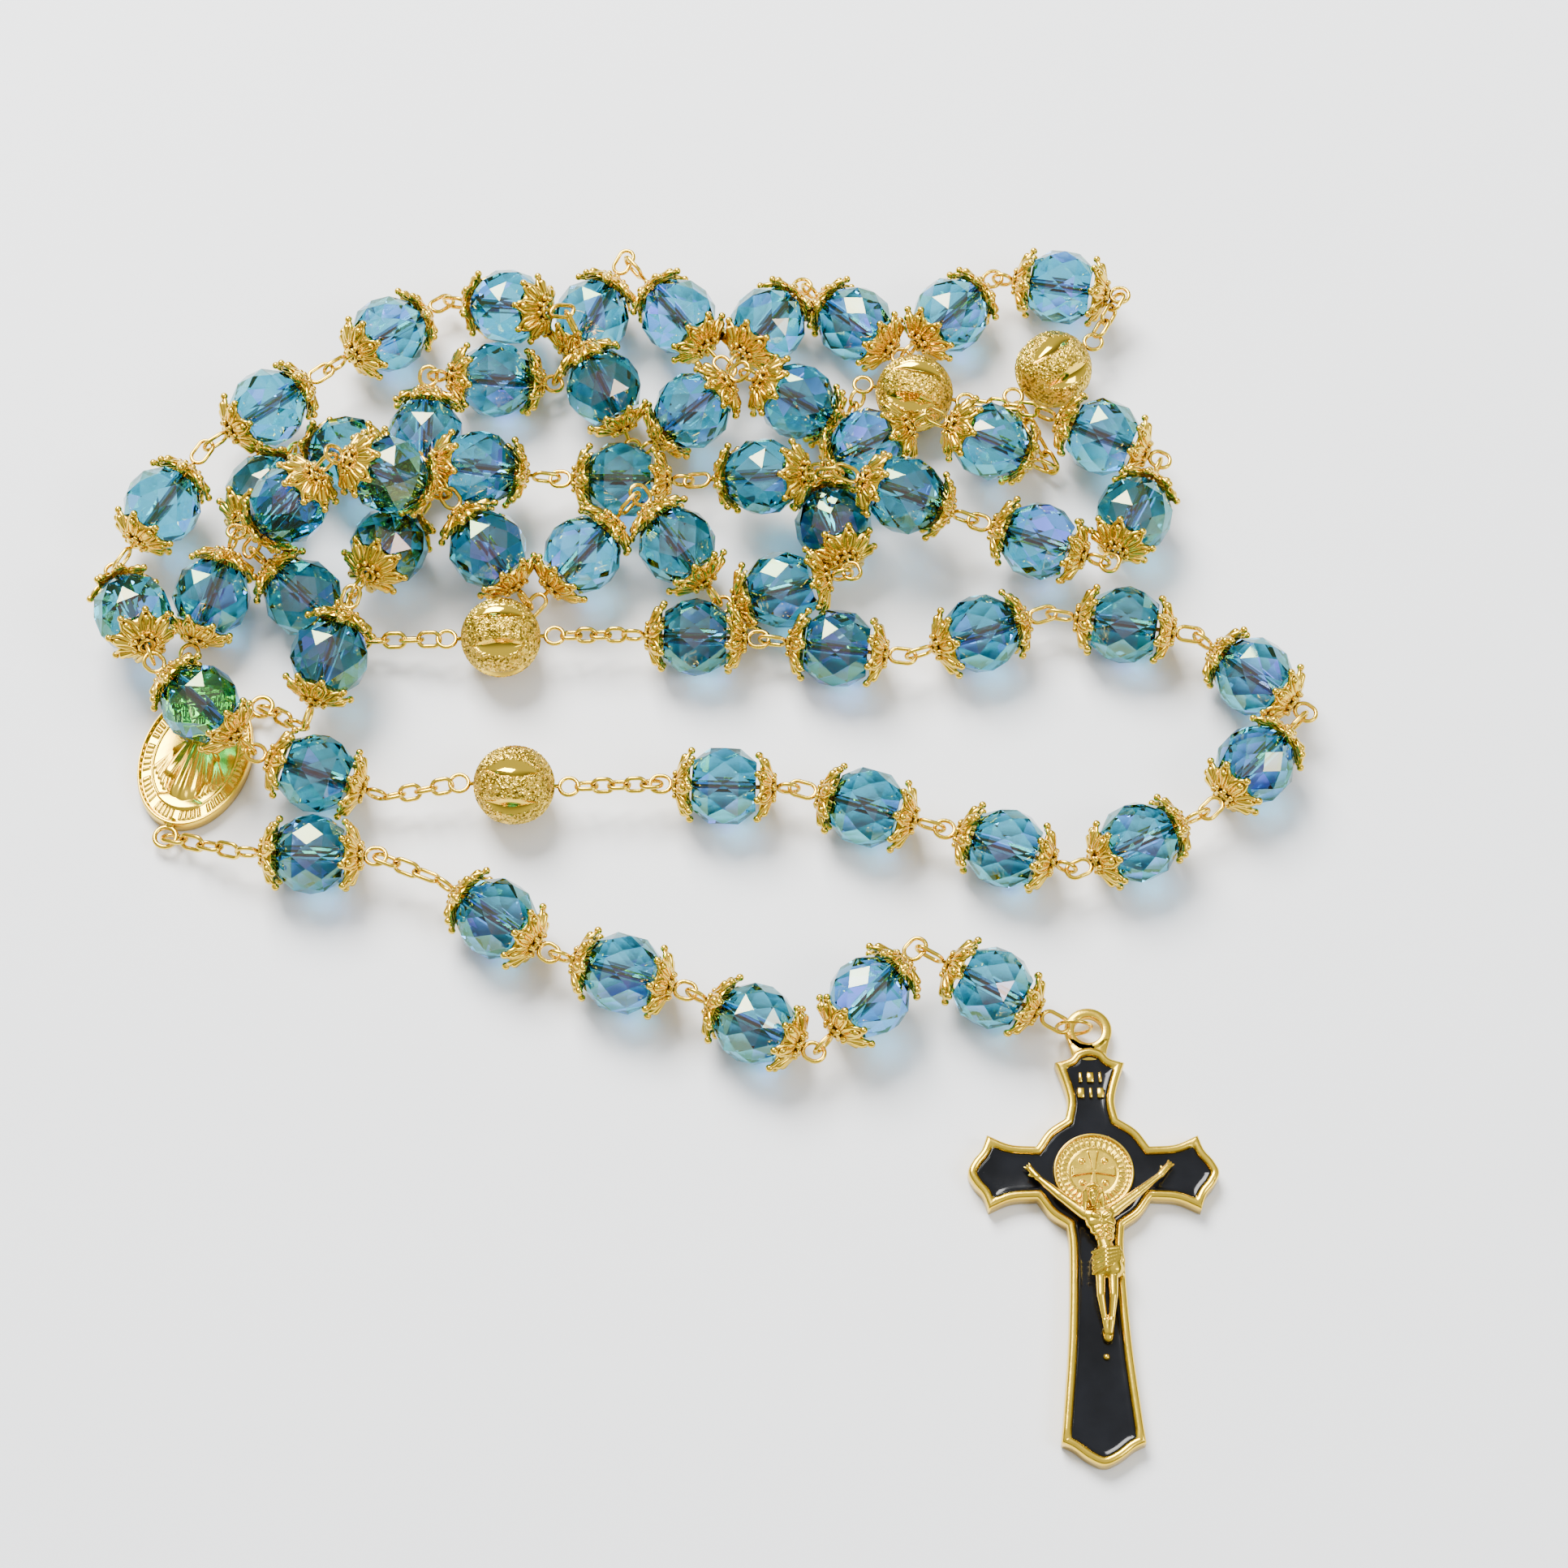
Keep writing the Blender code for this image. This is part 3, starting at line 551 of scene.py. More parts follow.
def cap_shapes():
    """A filigree cap on the +X end of a bead: a scalloped cup, looped petals, granules and a collar."""
    cap = settings("cap")
    glass = settings("glass")
    base = glass.length / 2 + 1.75
    tip = glass.length / 2 + 0.05
    reach = cap.diameter / 2
    items = []

    def polar(x, r, angle):
        return (x, r * math.cos(angle), r * math.sin(angle))

    turns = [2 * math.pi * i / (cap.petals * 4) for i in range(cap.petals * 4)]
    rows = []
    steps = (base, 0.45, 0), (base - 0.2, 1.5, 0), (base - 0.7, 2.4, 0.1), (tip + 0.45, 2.85, 0.3)
    for along, out, scallop in steps:
        rows.append([polar(along, out + scallop * math.cos(cap.petals * t), t) for t in turns])
    inner = [[(x - 0.14, y * 0.985, z * 0.985) for x, y, z in row] for row in reversed(rows)]
    points = [point for row in rows + inner for point in row]
    items.append(shape(points, grid_faces(8, len(turns), wrap_rows=True)))
    for i in range(cap.petals):
        middle = 2 * math.pi * i / cap.petals
        spread = math.pi / cap.petals
        for side in (-1, 1):
            path = [
                polar(base - 0.1, 1.0, middle + side * spread * 0.75),
                polar(base - 0.5, 1.9, middle + side * spread * 0.8),
                polar(base - 1.0, 2.65, middle + side * spread * 0.62),
                polar(tip + 0.35, reach - 0.35, middle + side * spread * 0.25),
                polar(tip + 0.15, reach - 0.05, middle),
            ]
            items.append(tube(path, [cap.rib / 2] * 4 + [cap.rib / 3], 5))
        leaf = polar(base - 0.42, 1.75, middle), polar(tip + 0.78, 2.75, middle)
        items.append(capsule(*leaf, cap.granule * 0.34, cap.granule * 0.56, 8, 3))
        items.append(granule(polar(tip + 0.15, reach, middle), cap.granule / 2, 5, 8))
        items.append(granule(polar(base, 1.25, middle + spread), cap.granule * 0.4, 4, 7))
    collar = [polar(base + 0.08, 0.72, 2 * math.pi * i / 16) for i in range(16)]
    items.append(tube(collar, 0.25, 7, closed=True))
    return items


def pin_shapes(start, end):
    """A pin's stem with an upright eye at its start and a flat one at its end."""
    wire = settings("wire")
    radius = eye_radius()
    along = (end - start).normalized()
    side = UP.cross(along).normalized()
    up = along.cross(side)
    middle = ((end - start).length + radius) / 2
    cap_base = settings("glass").length / 2 + 1.95
    free = middle - cap_base - 2 * radius - wire.pin / 2
    stretch = min(max(free, 0.0), 0.9)
    width = 2 * radius - 0.35 * stretch
    stem = [start + along * (2 * radius + stretch), end - along * (radius + stretch)]
    return [
        tube(stem, wire.pin / 2),
        oval(start + along * (radius + stretch / 2), along, up, 2 * radius + stretch, width, wire.pin),
        oval(end - along * stretch / 2, along, side, 2 * radius + stretch, width, wire.pin),
    ]


def chain_shapes(start, end, count):
    """Oval links hooked through each other from start to end, rolled a quarter turn each."""
    wire = settings("wire")
    along = (end - start).normalized()
    side = UP.cross(along).normalized()
    up = along.cross(side)
    pitch = (end - start).length / count
    width = wire.link - wire.chain
    items = []
    for i in range(count):
        roll = math.radians(52 if i % 2 else -38)
        across = side * math.cos(roll) + up * math.sin(roll)
        centre = start + along * pitch * (i + 0.5)
        length = max(pitch + wire.chain, width)
        items.append(oval(centre, along, across, length, width, wire.chain, 24))
    return items


def medal_ring_place(name):
    turn = Matrix.Rotation(math.radians(MEDAL_TURN), 4, "Z")
    x, y = MEDAL_RINGS[name]
    return turn @ Vector((x, y, MEDAL_RING_HEIGHT)) + Vector((*MEDAL_CENTRE, 0))


class ROSARY_OT_glass_beads(bpy.types.Operator):
    """Cuts the glass beads"""

    bl_idname = "rosary.glass_beads"
    bl_label = "Glass Beads"

    def execute(self, context):
        finish = finish_for("teal_cut_glass", cut_glass)
        bead = glass_shape()
        dice = random.Random(11)
        for (group, node, _), links in groups_of_strand().items():
            items = [moved(bead, bead_place(*link)) for link in links]
            values = [[dice.random() for _ in bead[1]] for _ in links]
            piece(f"{group}_beads", items, finish, BODY_OF[node], [node], values)
        return {"FINISHED"}


class ROSARY_OT_filigree_caps(bpy.types.Operator):
    """Sets a filigree cap over each end of each glass bead"""

    bl_idname = "rosary.filigree_caps"
    bl_label = "Filigree Caps"

    def execute(self, context):
        cap = cap_shapes()
        turn = Matrix.Rotation(math.pi, 4, "Z")
        for (group, _, node), links in groups_of_strand().items():
            items = []
            for start, end, roll in links:
                right = bead_place(start, end, roll * 0.5)
                left = bead_place(start, end, roll * 1.7) @ turn
                items += placed(cap, right) + placed(cap, left)
            piece(f"{group}_caps", items, gold_plate(), BODY_OF[node])
        return {"FINISHED"}


class ROSARY_OT_eye_pins(bpy.types.Operator):
    """Bends the eye pins that carry the glass beads"""

    bl_idname = "rosary.eye_pins"
    bl_label = "Eye Pins"

    def execute(self, context):
        for (group, glass_node, node), links in groups_of_strand().items():
            items = [item for start, end, _ in links for item in pin_shapes(start, end)]
            replaced = [node] if node != glass_node else []
            piece(f"{group}_wires", items, gold_plate(), BODY_OF[node], replaced)
        return {"FINISHED"}


# ---- gold balls


LEAF_WIDTH = math.radians(14.5)
LEAF_LENGTH = math.radians(42)
BALL_ROLLS = (40, 13, 30, 75)
BALL_MOUTH = 0.13
BALL_HOLE = 0.45


def cut_ball():
    """A frosted ball about X with polished leaf-shaped cuts along it, and whether each point is in a cut."""
    ball = settings("ball")
    dice = random.Random(3)
    rows, columns = 100, 200
    pitch = 2 * math.pi / ball.cuts
    points, inside = [], []
    for i in range(rows):
        t = BALL_MOUTH + (math.pi - 2 * BALL_MOUTH) * i / (rows - 1)
        latitude = math.pi / 2 - t
        for j in range(columns):
            turn = 2 * math.pi * j / columns
            width = LEAF_WIDTH * (1 - (latitude / LEAF_LENGTH) ** 2)
            off = (turn + pitch / 2) % pitch - pitch / 2
            share = abs(off) * math.cos(latitude) / width if width > 0 else 2
            radius = ball.diameter / 2
            if share < 1:
                radius -= ball.depth * (1 - share ** 2) * (width / LEAF_WIDTH) ** 0.5
            else:
                radius += dice.uniform(-ball.grain, ball.grain)
            inside.append(share < 1)
            out = radius * math.sin(t)
            points.append((radius * math.cos(t), out * math.cos(turn), out * math.sin(turn)))
    start = len(points)
    edge = ball.diameter / 2 * math.cos(BALL_MOUTH)
    for x in (-edge, edge):
        for j in range(columns):
            turn = 2 * math.pi * j / columns
            points.append((x, BALL_HOLE * math.cos(turn), BALL_HOLE * math.sin(turn)))
            inside.append(True)
    faces = grid_faces(rows, columns)
    for j in range(columns):
        k = (j + 1) % columns
        last = (rows - 1) * columns
        faces.append((j, k, start + columns + k, start + columns + j))
        faces.append((last + j, last + k, start + k, start + j))
        faces.append((start + j, start + k, start + columns + k, start + columns + j))
    return shape(points, faces, [all(inside[i] for i in face) for face in faces]), inside


def ball_frame(number):
    centre, angle = BALLS[number]
    return Matrix.Translation(centre) @ Matrix.Rotation(math.radians(angle), 4, "Z")


class ROSARY_OT_gold_balls(bpy.types.Operator):
    """Turns the frosted gold balls with their bright cuts, and bends their pins and chains"""

    bl_idname = "rosary.gold_balls"
    bl_label = "Gold Balls"

    def execute(self, context):
        finish = finish_for("frosted_gold", frosted_gold)
        wire = settings("wire")
        ball, inside = cut_ball()
        ends = [
            (DECADE_1[-1], DECADE_2[0]), (DECADE_2[-1], DECADE_3[0]),
            (DECADE_3[-1], DECADE_4[0]), (DECADE_4[-1], DECADE_5[0]),
        ]
        for number in range(len(BALLS)):
            place = ball_frame(number)
            roll = Matrix.Rotation(math.radians(BALL_ROLLS[number]), 4, "X")
            node = f"gold_ball_{number + 1}"
            items = [moved(ball, place @ roll)]
            obj = piece(f"frosted_ball_{number + 1}", items, finish, BODY_OF[node], [node])
            obj.data.attributes.new("cut", "FLOAT", "POINT").data.foreach_set("value", [float(v) for v in inside])
            ahead = place.to_3x3() @ Vector((1, 0, 0))
            side = UP.cross(ahead)
            centre = place.translation
            reach = settings("ball").diameter / 2 + 0.3 + wire.eye / 2
            eyes = [centre - ahead * reach, centre + ahead * reach]
            stem = [eyes[0] + ahead * eye_radius(), eyes[1] - ahead * eye_radius()]
            items = [tube(stem, wire.pin / 2)]
            items += [oval(eye, ahead, side, 2 * eye_radius(), 2 * eye_radius(), wire.pin) for eye in eyes]
            for eye, joint, count in zip(eyes, ends[number], BALL_CHAINS[number]):
                joint = Vector(joint)
                away = (joint - eye).normalized()
                items += chain_shapes(eye + away * eye_radius(), joint, count)
            node = f"gold_ball_pin_{number + 1}"
            piece(f"ball_chains_{number + 1}", items, gold_plate(), BODY_OF[node], [node])
        return {"FINISHED"}


RING_WIDTH = 3.3
RING_THINNER = 0.04


class ROSARY_OT_short_chains(bpy.types.Operator):
    """Links the short chains at the medal and on the tail, and the two jump rings"""

    bl_idname = "rosary.short_chains"
    bl_label = "Short Chains"

    def execute(self, context):
        finish = gold_plate()
        runs = {
            "medal_chain": (medal_ring_place("right"), Vector(DECADE_1[0]), 3),
            "tail_chain_upper": (medal_ring_place("foot"), Vector(TAIL_FIRST[0]), 4),
            "tail_chain_lower": (Vector(TAIL_FIRST[1]), Vector(TAIL_REST[0]), 3),
        }
        for node, run in runs.items():
            piece(f"{node}_links", chain_shapes(*run), finish, BODY_OF[node], [node])
        wire = settings("wire")
        rings = {
            "medal_jump_ring": (Vector(DECADE_5[-1]), medal_ring_place("left")),
            "crucifix_jump_ring": (Vector(TAIL_REST[-1]), bail_place()),
        }
        for node, (start, end) in rings.items():
            along = (end - start).normalized()
            up = along.cross(UP.cross(along).normalized())
            reach = (end - start).length
            item = oval((start + end) / 2, along, up, reach, RING_WIDTH, wire.pin - RING_THINNER, 36, 10)
            piece(f"{node}_wire", [item], finish, BODY_OF[node], [node])
        return {"FINISHED"}


# ---- relief plates


def relief(half_width, half_length, height, back, rows=70, columns=200):
    """An oval plate whose face follows a height function of x and y, with a plain wall and back."""
    points = []
    for i in range(rows):
        share = (i + 0.02) / (rows - 0.98)
        for j in range(columns):
            turn = 2 * math.pi * j / columns
            points.append((share * half_width * math.cos(turn), share * half_length * math.sin(turn)))
    flat = np.array(points)
    face = np.column_stack([flat, height(flat[:, 0], flat[:, 1])])
    rim = face[-columns:].copy()
    low = rim.copy()
    low[:, 2] = back + 0.25
    under = rim * (0.97, 0.97, 0)
    under[:, 2] = back
    points = np.concatenate([face, low, under])
    return shape(points, skin_faces(rows + 2, columns, closed=False))


def soft_step(low, high, value):
    share = np.clip((value - low) / (high - low), 0, 1)
    return share * share * (3 - 2 * share)


def ridge(x, y, start, end, width_start, width_end):
    """How far a point is inside a tapering ridge from start to end: one on its line, zero outside."""
    start, end = np.array(start, float), np.array(end, float)
    line = end - start
    share = np.clip(((x - start[0]) * line[0] + (y - start[1]) * line[1]) / line.dot(line), 0, 1)
    distance = np.hypot(x - start[0] - share * line[0], y - start[1] - share * line[1])
    width = width_start + (width_end - width_start) * share
    return np.sqrt(np.clip(1 - (distance / width) ** 2, 0, 1))


MEDAL_HALF = (5.6, 8.0)
MEDAL_FIELD = 1.25


def medal_height(x, y):
    """The medal's face: a raised rim, a band of plain ticks, and a robed figure on a dome with rays."""
    half_width, half_length = MEDAL_HALF
    oval_radius = np.hypot(x / half_width, y / half_length)
    turn = np.arctan2(y / half_length, x / half_width)
    z = np.full(x.shape, MEDAL_FIELD)
    z += 0.45 * soft_step(0.93, 0.96, oval_radius)
    z -= 0.35 * soft_step(0.985, 1.0, oval_radius)
    z += 0.10 * np.exp(-((oval_radius - 0.735) / 0.012) ** 2)
    band = soft_step(0.77, 0.785, oval_radius) * (1 - soft_step(0.895, 0.91, oval_radius))
    ticks = np.cos(turn * 66) > 0.1
    groups = np.cos(turn * 11 + 1) > -0.8
    z += 0.16 * band * ticks * groups
    robe = ridge(x, y, (0, 2.4), (0.1, -3.6), 1.0, 1.75)
    folds = 0.10 * np.sin(9.5 * x / (0.75 + 0.16 * (2.4 - y))) * (y < 1.6)
    z = np.maximum(z, MEDAL_FIELD + (0.75 + folds) * robe * (robe > 0))
    for side in (-1, 1):
        mantle = ridge(x, y, (side * 0.85, 2.3), (side * 1.95, -2.3), 0.75, 0.55)
        z = np.maximum(z, MEDAL_FIELD + 0.55 * mantle + 0.05 * np.sin(7 * (x + side * y * 0.4)) * (mantle > 0))
        arm = ridge(x, y, (side * 0.95, 1.7), (side * 2.2, 0.3), 0.5, 0.3)
        z = np.maximum(z, MEDAL_FIELD + 0.68 * arm)
        for ray in range(5):
            end = (side * (1.9 + 0.42 * ray), -4.1 + 0.5 * ray)
            z = np.maximum(z, MEDAL_FIELD + 0.16 * ridge(x, y, (side * 2.3, 0.1), end, 0.1, 0.22))
    z = np.maximum(z, MEDAL_FIELD + 0.75 * ridge(x, y, (0, 3.1), (0, 3.75), 0.95, 0.85))
    z = np.maximum(z, MEDAL_FIELD + 0.95 * ridge(x, y, (0, 3.25), (0, 3.6), 0.5, 0.48))
    dome = np.hypot(x / 3.3, (y + 6.0) / 1.7)
    z = np.maximum(z, MEDAL_FIELD + 0.42 * np.sqrt(np.clip(1 - dome ** 2, 0, 1)) * (oval_radius < 0.76))
    return z


class ROSARY_OT_centre_medal(bpy.types.Operator):
    """Strikes the centre medal and its three rings"""

    bl_idname = "rosary.centre_medal"
    bl_label = "Centre Medal"

    def execute(self, context):
        place = Matrix.Translation((*MEDAL_CENTRE, 0)) @ Matrix.Rotation(math.radians(MEDAL_TURN), 4, "Z")
        items = [relief(*MEDAL_HALF, medal_height, 0.0, 110, 320)]
        for x, y in MEDAL_RINGS.values():
            centre = Vector((x, y, MEDAL_RING_HEIGHT))
            inward = Vector((-x, -y, 0)).normalized()
            items.append(oval(centre, inward, inward.cross(UP), 2.2, 2.2, 0.52, 24))
            items.append(tube([centre + inward * 1.1, centre + inward * 2.1], 0.45))
        items = placed(items, place)
        finish = finish_for("struck_gold", polished_gold, 0.2, 0.2)
        piece("struck_medal", items, finish, BODY_OF["centre_medal"], ["centre_medal"])
        return {"FINISHED"}


# ---- crucifix. Its shapes are placed from the middle of its medallion, with the foot towards -Y


BAIL_ABOVE = 14.825
BAIL_HEIGHT = 1.25
JUMP_RING_REACH = 3.4
CROSS_HALF = [
    (0, 12.9, 0), (1.3, 12.5, 0), (2.0, 11.75, 0), (3.4, 11.3, 1), (2.7, 9.2, 0), (2.3, 7.3, 0), (2.6, 5.5, 1),
    (4.31, 4.31, 0), (5.5, 2.65, 1), (8.0, 2.85, 0), (10.2, 3.8, 1), (10.75, 2.3, 0), (11.6, 1.2, 0), (12.1, 0, 0),
    (11.6, -1.2, 0), (10.75, -2.3, 0), (10.2, -3.8, 1), (8.0, -2.85, 0), (5.5, -2.65, 1), (4.31, -4.31, 0),
    (2.75, -5.45, 1), (2.6, -8.4, 0), (3.0, -17, 0), (3.95, -26.7, 1), (2.9, -27.2, 0), (1.5, -28.25, 0),
    (0, -28.85, 0),
]


def bail_place():
    start = Vector(TAIL_REST[-1])
    drop = math.asin((start.z - BAIL_HEIGHT) / JUMP_RING_REACH)
    return start + Vector((math.cos(drop), 0, -math.sin(drop))) * JUMP_RING_REACH


def cross_place():
    bail = bail_place()
    return Matrix.Translation((bail.x, bail.y - BAIL_ABOVE, 0))


def cross_outline(steps=7):
    """The outline, clockwise from the head: a smooth curve through the points, broken at the marked corners."""
    right = CROSS_HALF
    left = [(-x, y, corner) for x, y, corner in reversed(CROSS_HALF[1:-1])]
    knots = right + left
    count = len(knots)
    outline = []
    for i in range(count):
        before, here, after, beyond = (np.array(knots[(i + k) % count][:2], float) for k in (-1, 0, 1, 2))
        leave = after - here if knots[i][2] else (after - before) / 2
        arrive = after - here if knots[(i + 1) % count][2] else (beyond - here) / 2
        for step in range(steps):
            t = step / steps
            outline.append(
                here * (2 * t ** 3 - 3 * t ** 2 + 1) + after * (3 * t ** 2 - 2 * t ** 3)
                + leave * (t ** 3 - 2 * t ** 2 + t) + arrive * (t ** 3 - t ** 2)
            )
    return np.array(outline)


def inset(outline, distance):
    """The outline moved inwards. Points that would cross over gather at the nearest sound point."""
    if distance == 0:
        return outline.copy()
    before = outline - np.roll(outline, 1, 0)
    after = np.roll(outline, -1, 0) - outline
    before /= np.linalg.norm(before, axis=1)[:, None]
    after /= np.linalg.norm(after, axis=1)[:, None]
    normals = np.column_stack([before[:, 1] + after[:, 1], -before[:, 0] - after[:, 0]])
    spread = np.clip(1 + (before * after).sum(1), 0.25, 2)
    moved_points = outline + normals * distance / spread[:, None]
    ends = np.roll(outline, -1, 0)
    line = ends - outline
    sound = []
    for point in moved_points:
        share = np.clip(((point - outline) * line).sum(1) / (line * line).sum(1), 0, 1)
        nearest = np.linalg.norm(outline + line * share[:, None] - point, axis=1).min()
        sound.append(nearest > distance * 0.985)
    sound = np.array(sound)
    good = np.flatnonzero(sound)
    count = len(outline)
    for i in np.flatnonzero(~sound):
        gaps = np.minimum((good - i) % count, (i - good) % count)
        moved_points[i] = moved_points[good[gaps.argmin()]]
    return moved_points


def filled(ring):
    """Triangles over the inside of a closed outline, by the numbers of its points."""
    count = len(ring)
    edges = [(i, (i + 1) % count) for i in range(count)]
    made = delaunay_2d_cdt([Vector(point) for point in ring.tolist()], edges, [], 1, 1e-5)
    nearest = [int(np.linalg.norm(ring - tuple(corner), axis=1).argmin()) for corner in made[0]]
    triangles = [tuple(nearest[i] for i in triangle) for triangle in made[2]]
    return [triangle for triangle in triangles if len(set(triangle)) == 3]


def stepped(outline, levels):
    """A solid through the outline's insets at rising heights, as (inset, z)."""
    rings = []
    for distance, z in levels:
        ring = inset(outline, distance)
        rings.append(np.column_stack([ring, np.full(len(ring), z)]))
    count = len(outline)
    last = (len(levels) - 1) * count
    faces = grid_faces(len(levels), count)
    faces += [tuple(reversed(triangle)) for triangle in filled(rings[0][:, :2])]
    faces += [tuple(last + i for i in triangle) for triangle in filled(rings[-1][:, :2])]
    return shape(np.concatenate(rings), faces)


def bar(x, y, width, height, low, high):
    """A small raised bar with softened edges."""
    outline = np.array([(-width, -height), (-width, height), (width, height), (width, -height)]) / 2 + (x, y)
    return stepped(outline, [(0, low), (0, high - 0.06), (0.05, high)])


MEDALLION_RADIUS = 3.92
MEDALLION_FIELD = 1.72


def medallion_height(x, y):
    """A beaded edge, a ring of plain ticks, and a flared cross."""
    radius = np.hypot(x, y)
    turn = np.arctan2(y, x)
    z = np.full(x.shape, MEDALLION_FIELD)
    z += 0.28 * soft_step(3.55, 3.65, radius) * (1 - soft_step(3.85, 3.9, radius))
    z += 0.12 * (np.cos(turn * 44) > 0) * soft_step(3.25, 3.3, radius) * (1 - soft_step(3.45, 3.5, radius))
    ticks = (np.cos(turn * 33) > 0.15) & (np.cos(turn * 11) > -0.8)
    z += 0.13 * ticks * soft_step(2.55, 2.6, radius) * (1 - soft_step(3.02, 3.1, radius))
    z += 0.08 * np.exp(-((radius - 2.4) / 0.06) ** 2)
    for one, other in ((x, y), (y, x)):
        width = 0.16 + 0.14 * np.abs(one) ** 1.4
        arm = (1 - soft_step(0.8, 1.0, np.abs(other) / width)) * (np.abs(one) < 2.05)
        z = np.maximum(z, MEDALLION_FIELD + 0.24 * arm)
    for a, b in ((1, 1), (1, -1), (-1, 1), (-1, -1)):
        dot = np.hypot(x - a * 1.1, y - b * 1.1)
        z = np.maximum(z, MEDALLION_FIELD + 0.2 * np.sqrt(np.clip(1 - (dot / 0.3) ** 2, 0, 1)))
    return z


def figure_limbs():
    """The cast figure as limbs in the round, before they are blended into one skin."""
    head = (-0.3, -2.95, 3.85)
    parts = [
        # head, hair, beard and neck
        (head, (-0.36, -3.35, 3.85), 0.62, 0.46),
        ((-0.25, -2.55, 3.4), (-0.25, -3.1, 3.2), 0.86, 0.8),
        ((-1.0, -2.8, 3.4), (-1.15, -4.15, 3.2), 0.36, 0.24),
        ((0.45, -2.8, 3.4), (0.65, -4.15, 3.2), 0.36, 0.24),
        ((-0.36, -3.6, 4.0), (-0.34, -4.05, 3.85), 0.32, 0.18),
        ((-0.31, -2.95, 4.42), (-0.34, -3.22, 4.5), 0.1, 0.14),
        ((-0.6, -2.85, 4.3), (-0.05, -2.85, 4.3), 0.12, 0.12),
        ((-0.1, -3.6, 3.1), (0.2, -4.5, 2.9), 0.4, 0.48),
        # chest, ribs and belly
        ((-0.7, -4.85, 2.9), (1.2, -4.65, 2.9), 0.66, 0.66),
        ((-0.4, -5.5, 2.85), (1.15, -5.4, 2.85), 0.7, 0.68),
        ((-0.05, -6.2, 2.75), (1.1, -6.15, 2.75), 0.66, 0.64),
        ((0.35, -6.9, 2.7), (1.05, -6.9, 2.7), 0.62, 0.6),
        ((0.6, -7.3, 2.7), (0.85, -8.2, 2.7), 0.72, 0.78),
        ((-0.3, -4.95, 3.4), (0.1, -5.1, 3.45), 0.34, 0.3),
        ((1.05, -4.85, 3.4), (0.7, -5.05, 3.45), 0.34, 0.3),
        # thighs, shins and feet
        ((0.2, -10.0, 2.7), (0.12, -12.8, 2.95), 0.55, 0.44),
        ((1.35, -10.0, 2.7), (1.3, -12.8, 3.0), 0.55, 0.44),
        ((0.12, -12.8, 2.95), (0.45, -15.1, 2.45), 0.42, 0.28),
        ((1.3, -12.8, 3.0), (1.1, -15.1, 2.5), 0.42, 0.28),
        ((0.47, -15.1, 2.5), (0.58, -16.2, 2.35), 0.32, 0.24),
        ((1.08, -15.1, 2.6), (0.94, -16.25, 2.45), 0.32, 0.24),
        ((0.75, -16.1, 1.9), (0.75, -16.6, 1.9), 0.62, 0.5),
    ]
    limbs = [capsule(*part) for part in parts]
    for i in range(4):
        y = -5.75 - 0.5 * i
        limbs.append(capsule((-0.45 + 0.16 * i, y, 3.25), (0.3 + 0.05 * i, y + 0.2, 3.5), 0.13, 0.11))
        limbs.append(capsule((1.55 - 0.06 * i, y, 3.25), (0.9 - 0.03 * i, y + 0.2, 3.5), 0.13, 0.11))
    arms = [
        ((-1.1, -4.65, 2.85), (-3.4, -2.75, 2.65), (-5.5, -0.75, 2.35), (-6.15, 0.1, 2.2)),
        ((1.6, -4.35, 2.85), (4.0, -2.45, 2.65), (6.4, -0.45, 2.35), (7.1, 0.4, 2.2)),
    ]
    for shoulder, elbow, wrist, tip in arms:
        limbs.append(capsule(shoulder, elbow, 0.6, 0.44))
        limbs.append(capsule(elbow, wrist, 0.46, 0.28))
        limbs.append(capsule(wrist, tip, 0.36, 0.34))
        reach = Vector(tip) - Vector(wrist)
        side = Vector((reach.y, -reach.x, 0)).normalized()
        for finger in (-1, 0, 1):
            root = Vector(tip) + side * 0.18 * finger
            limbs.append(capsule(root, root + reach * 0.5 + side * 0.12 * finger, 0.14, 0.1))
        limbs.append(capsule(wrist, Vector(wrist) + reach * 0.6 - side * 0.5, 0.16, 0.12))
    return limbs


def cloth_folds():
    """The cloth round the hips: folds that slant up to a knot at one side, over a full skirt."""
    folds = [capsule((0.3, -8.7, 2.65), (0.25, -10.1, 2.65), 0.85, 0.95, 16)]
    folds.append(capsule((1.3, -8.7, 2.65), (1.45, -10.1, 2.65), 0.85, 0.95, 16))
    for i in range(5):
        left = (-0.5, -8.6 - 0.52 * i, 3.1)
        middle = (0.7, -8.4 - 0.42 * i, 3.75)
        right = (2.0, -8.1 - 0.3 * i, 3.2)
        folds.append(capsule(left, middle, 0.2, 0.22, 10))
        folds.append(capsule(middle, right, 0.22, 0.2, 10))
    folds.append(capsule((2.1, -8.6, 3.0), (2.3, -9.3, 2.8), 0.34, 0.3, 12))
    folds.append(capsule((2.3, -9.4, 2.7), (2.35, -10.7, 2.5), 0.28, 0.18, 12))
    return folds


def thorns():
    """A twisted band round the brow."""
    band = []
    for i in range(24):
        t = 2 * math.pi * i / 24
        lift = 0.06 * math.sin(5 * t)
        band.append((-0.29 + 0.8 * math.cos(t), -2.5 + 0.22 * math.sin(t) + lift, 3.65 + 0.75 * math.sin(t)))
    return tube(band, 0.16, 6, closed=True)


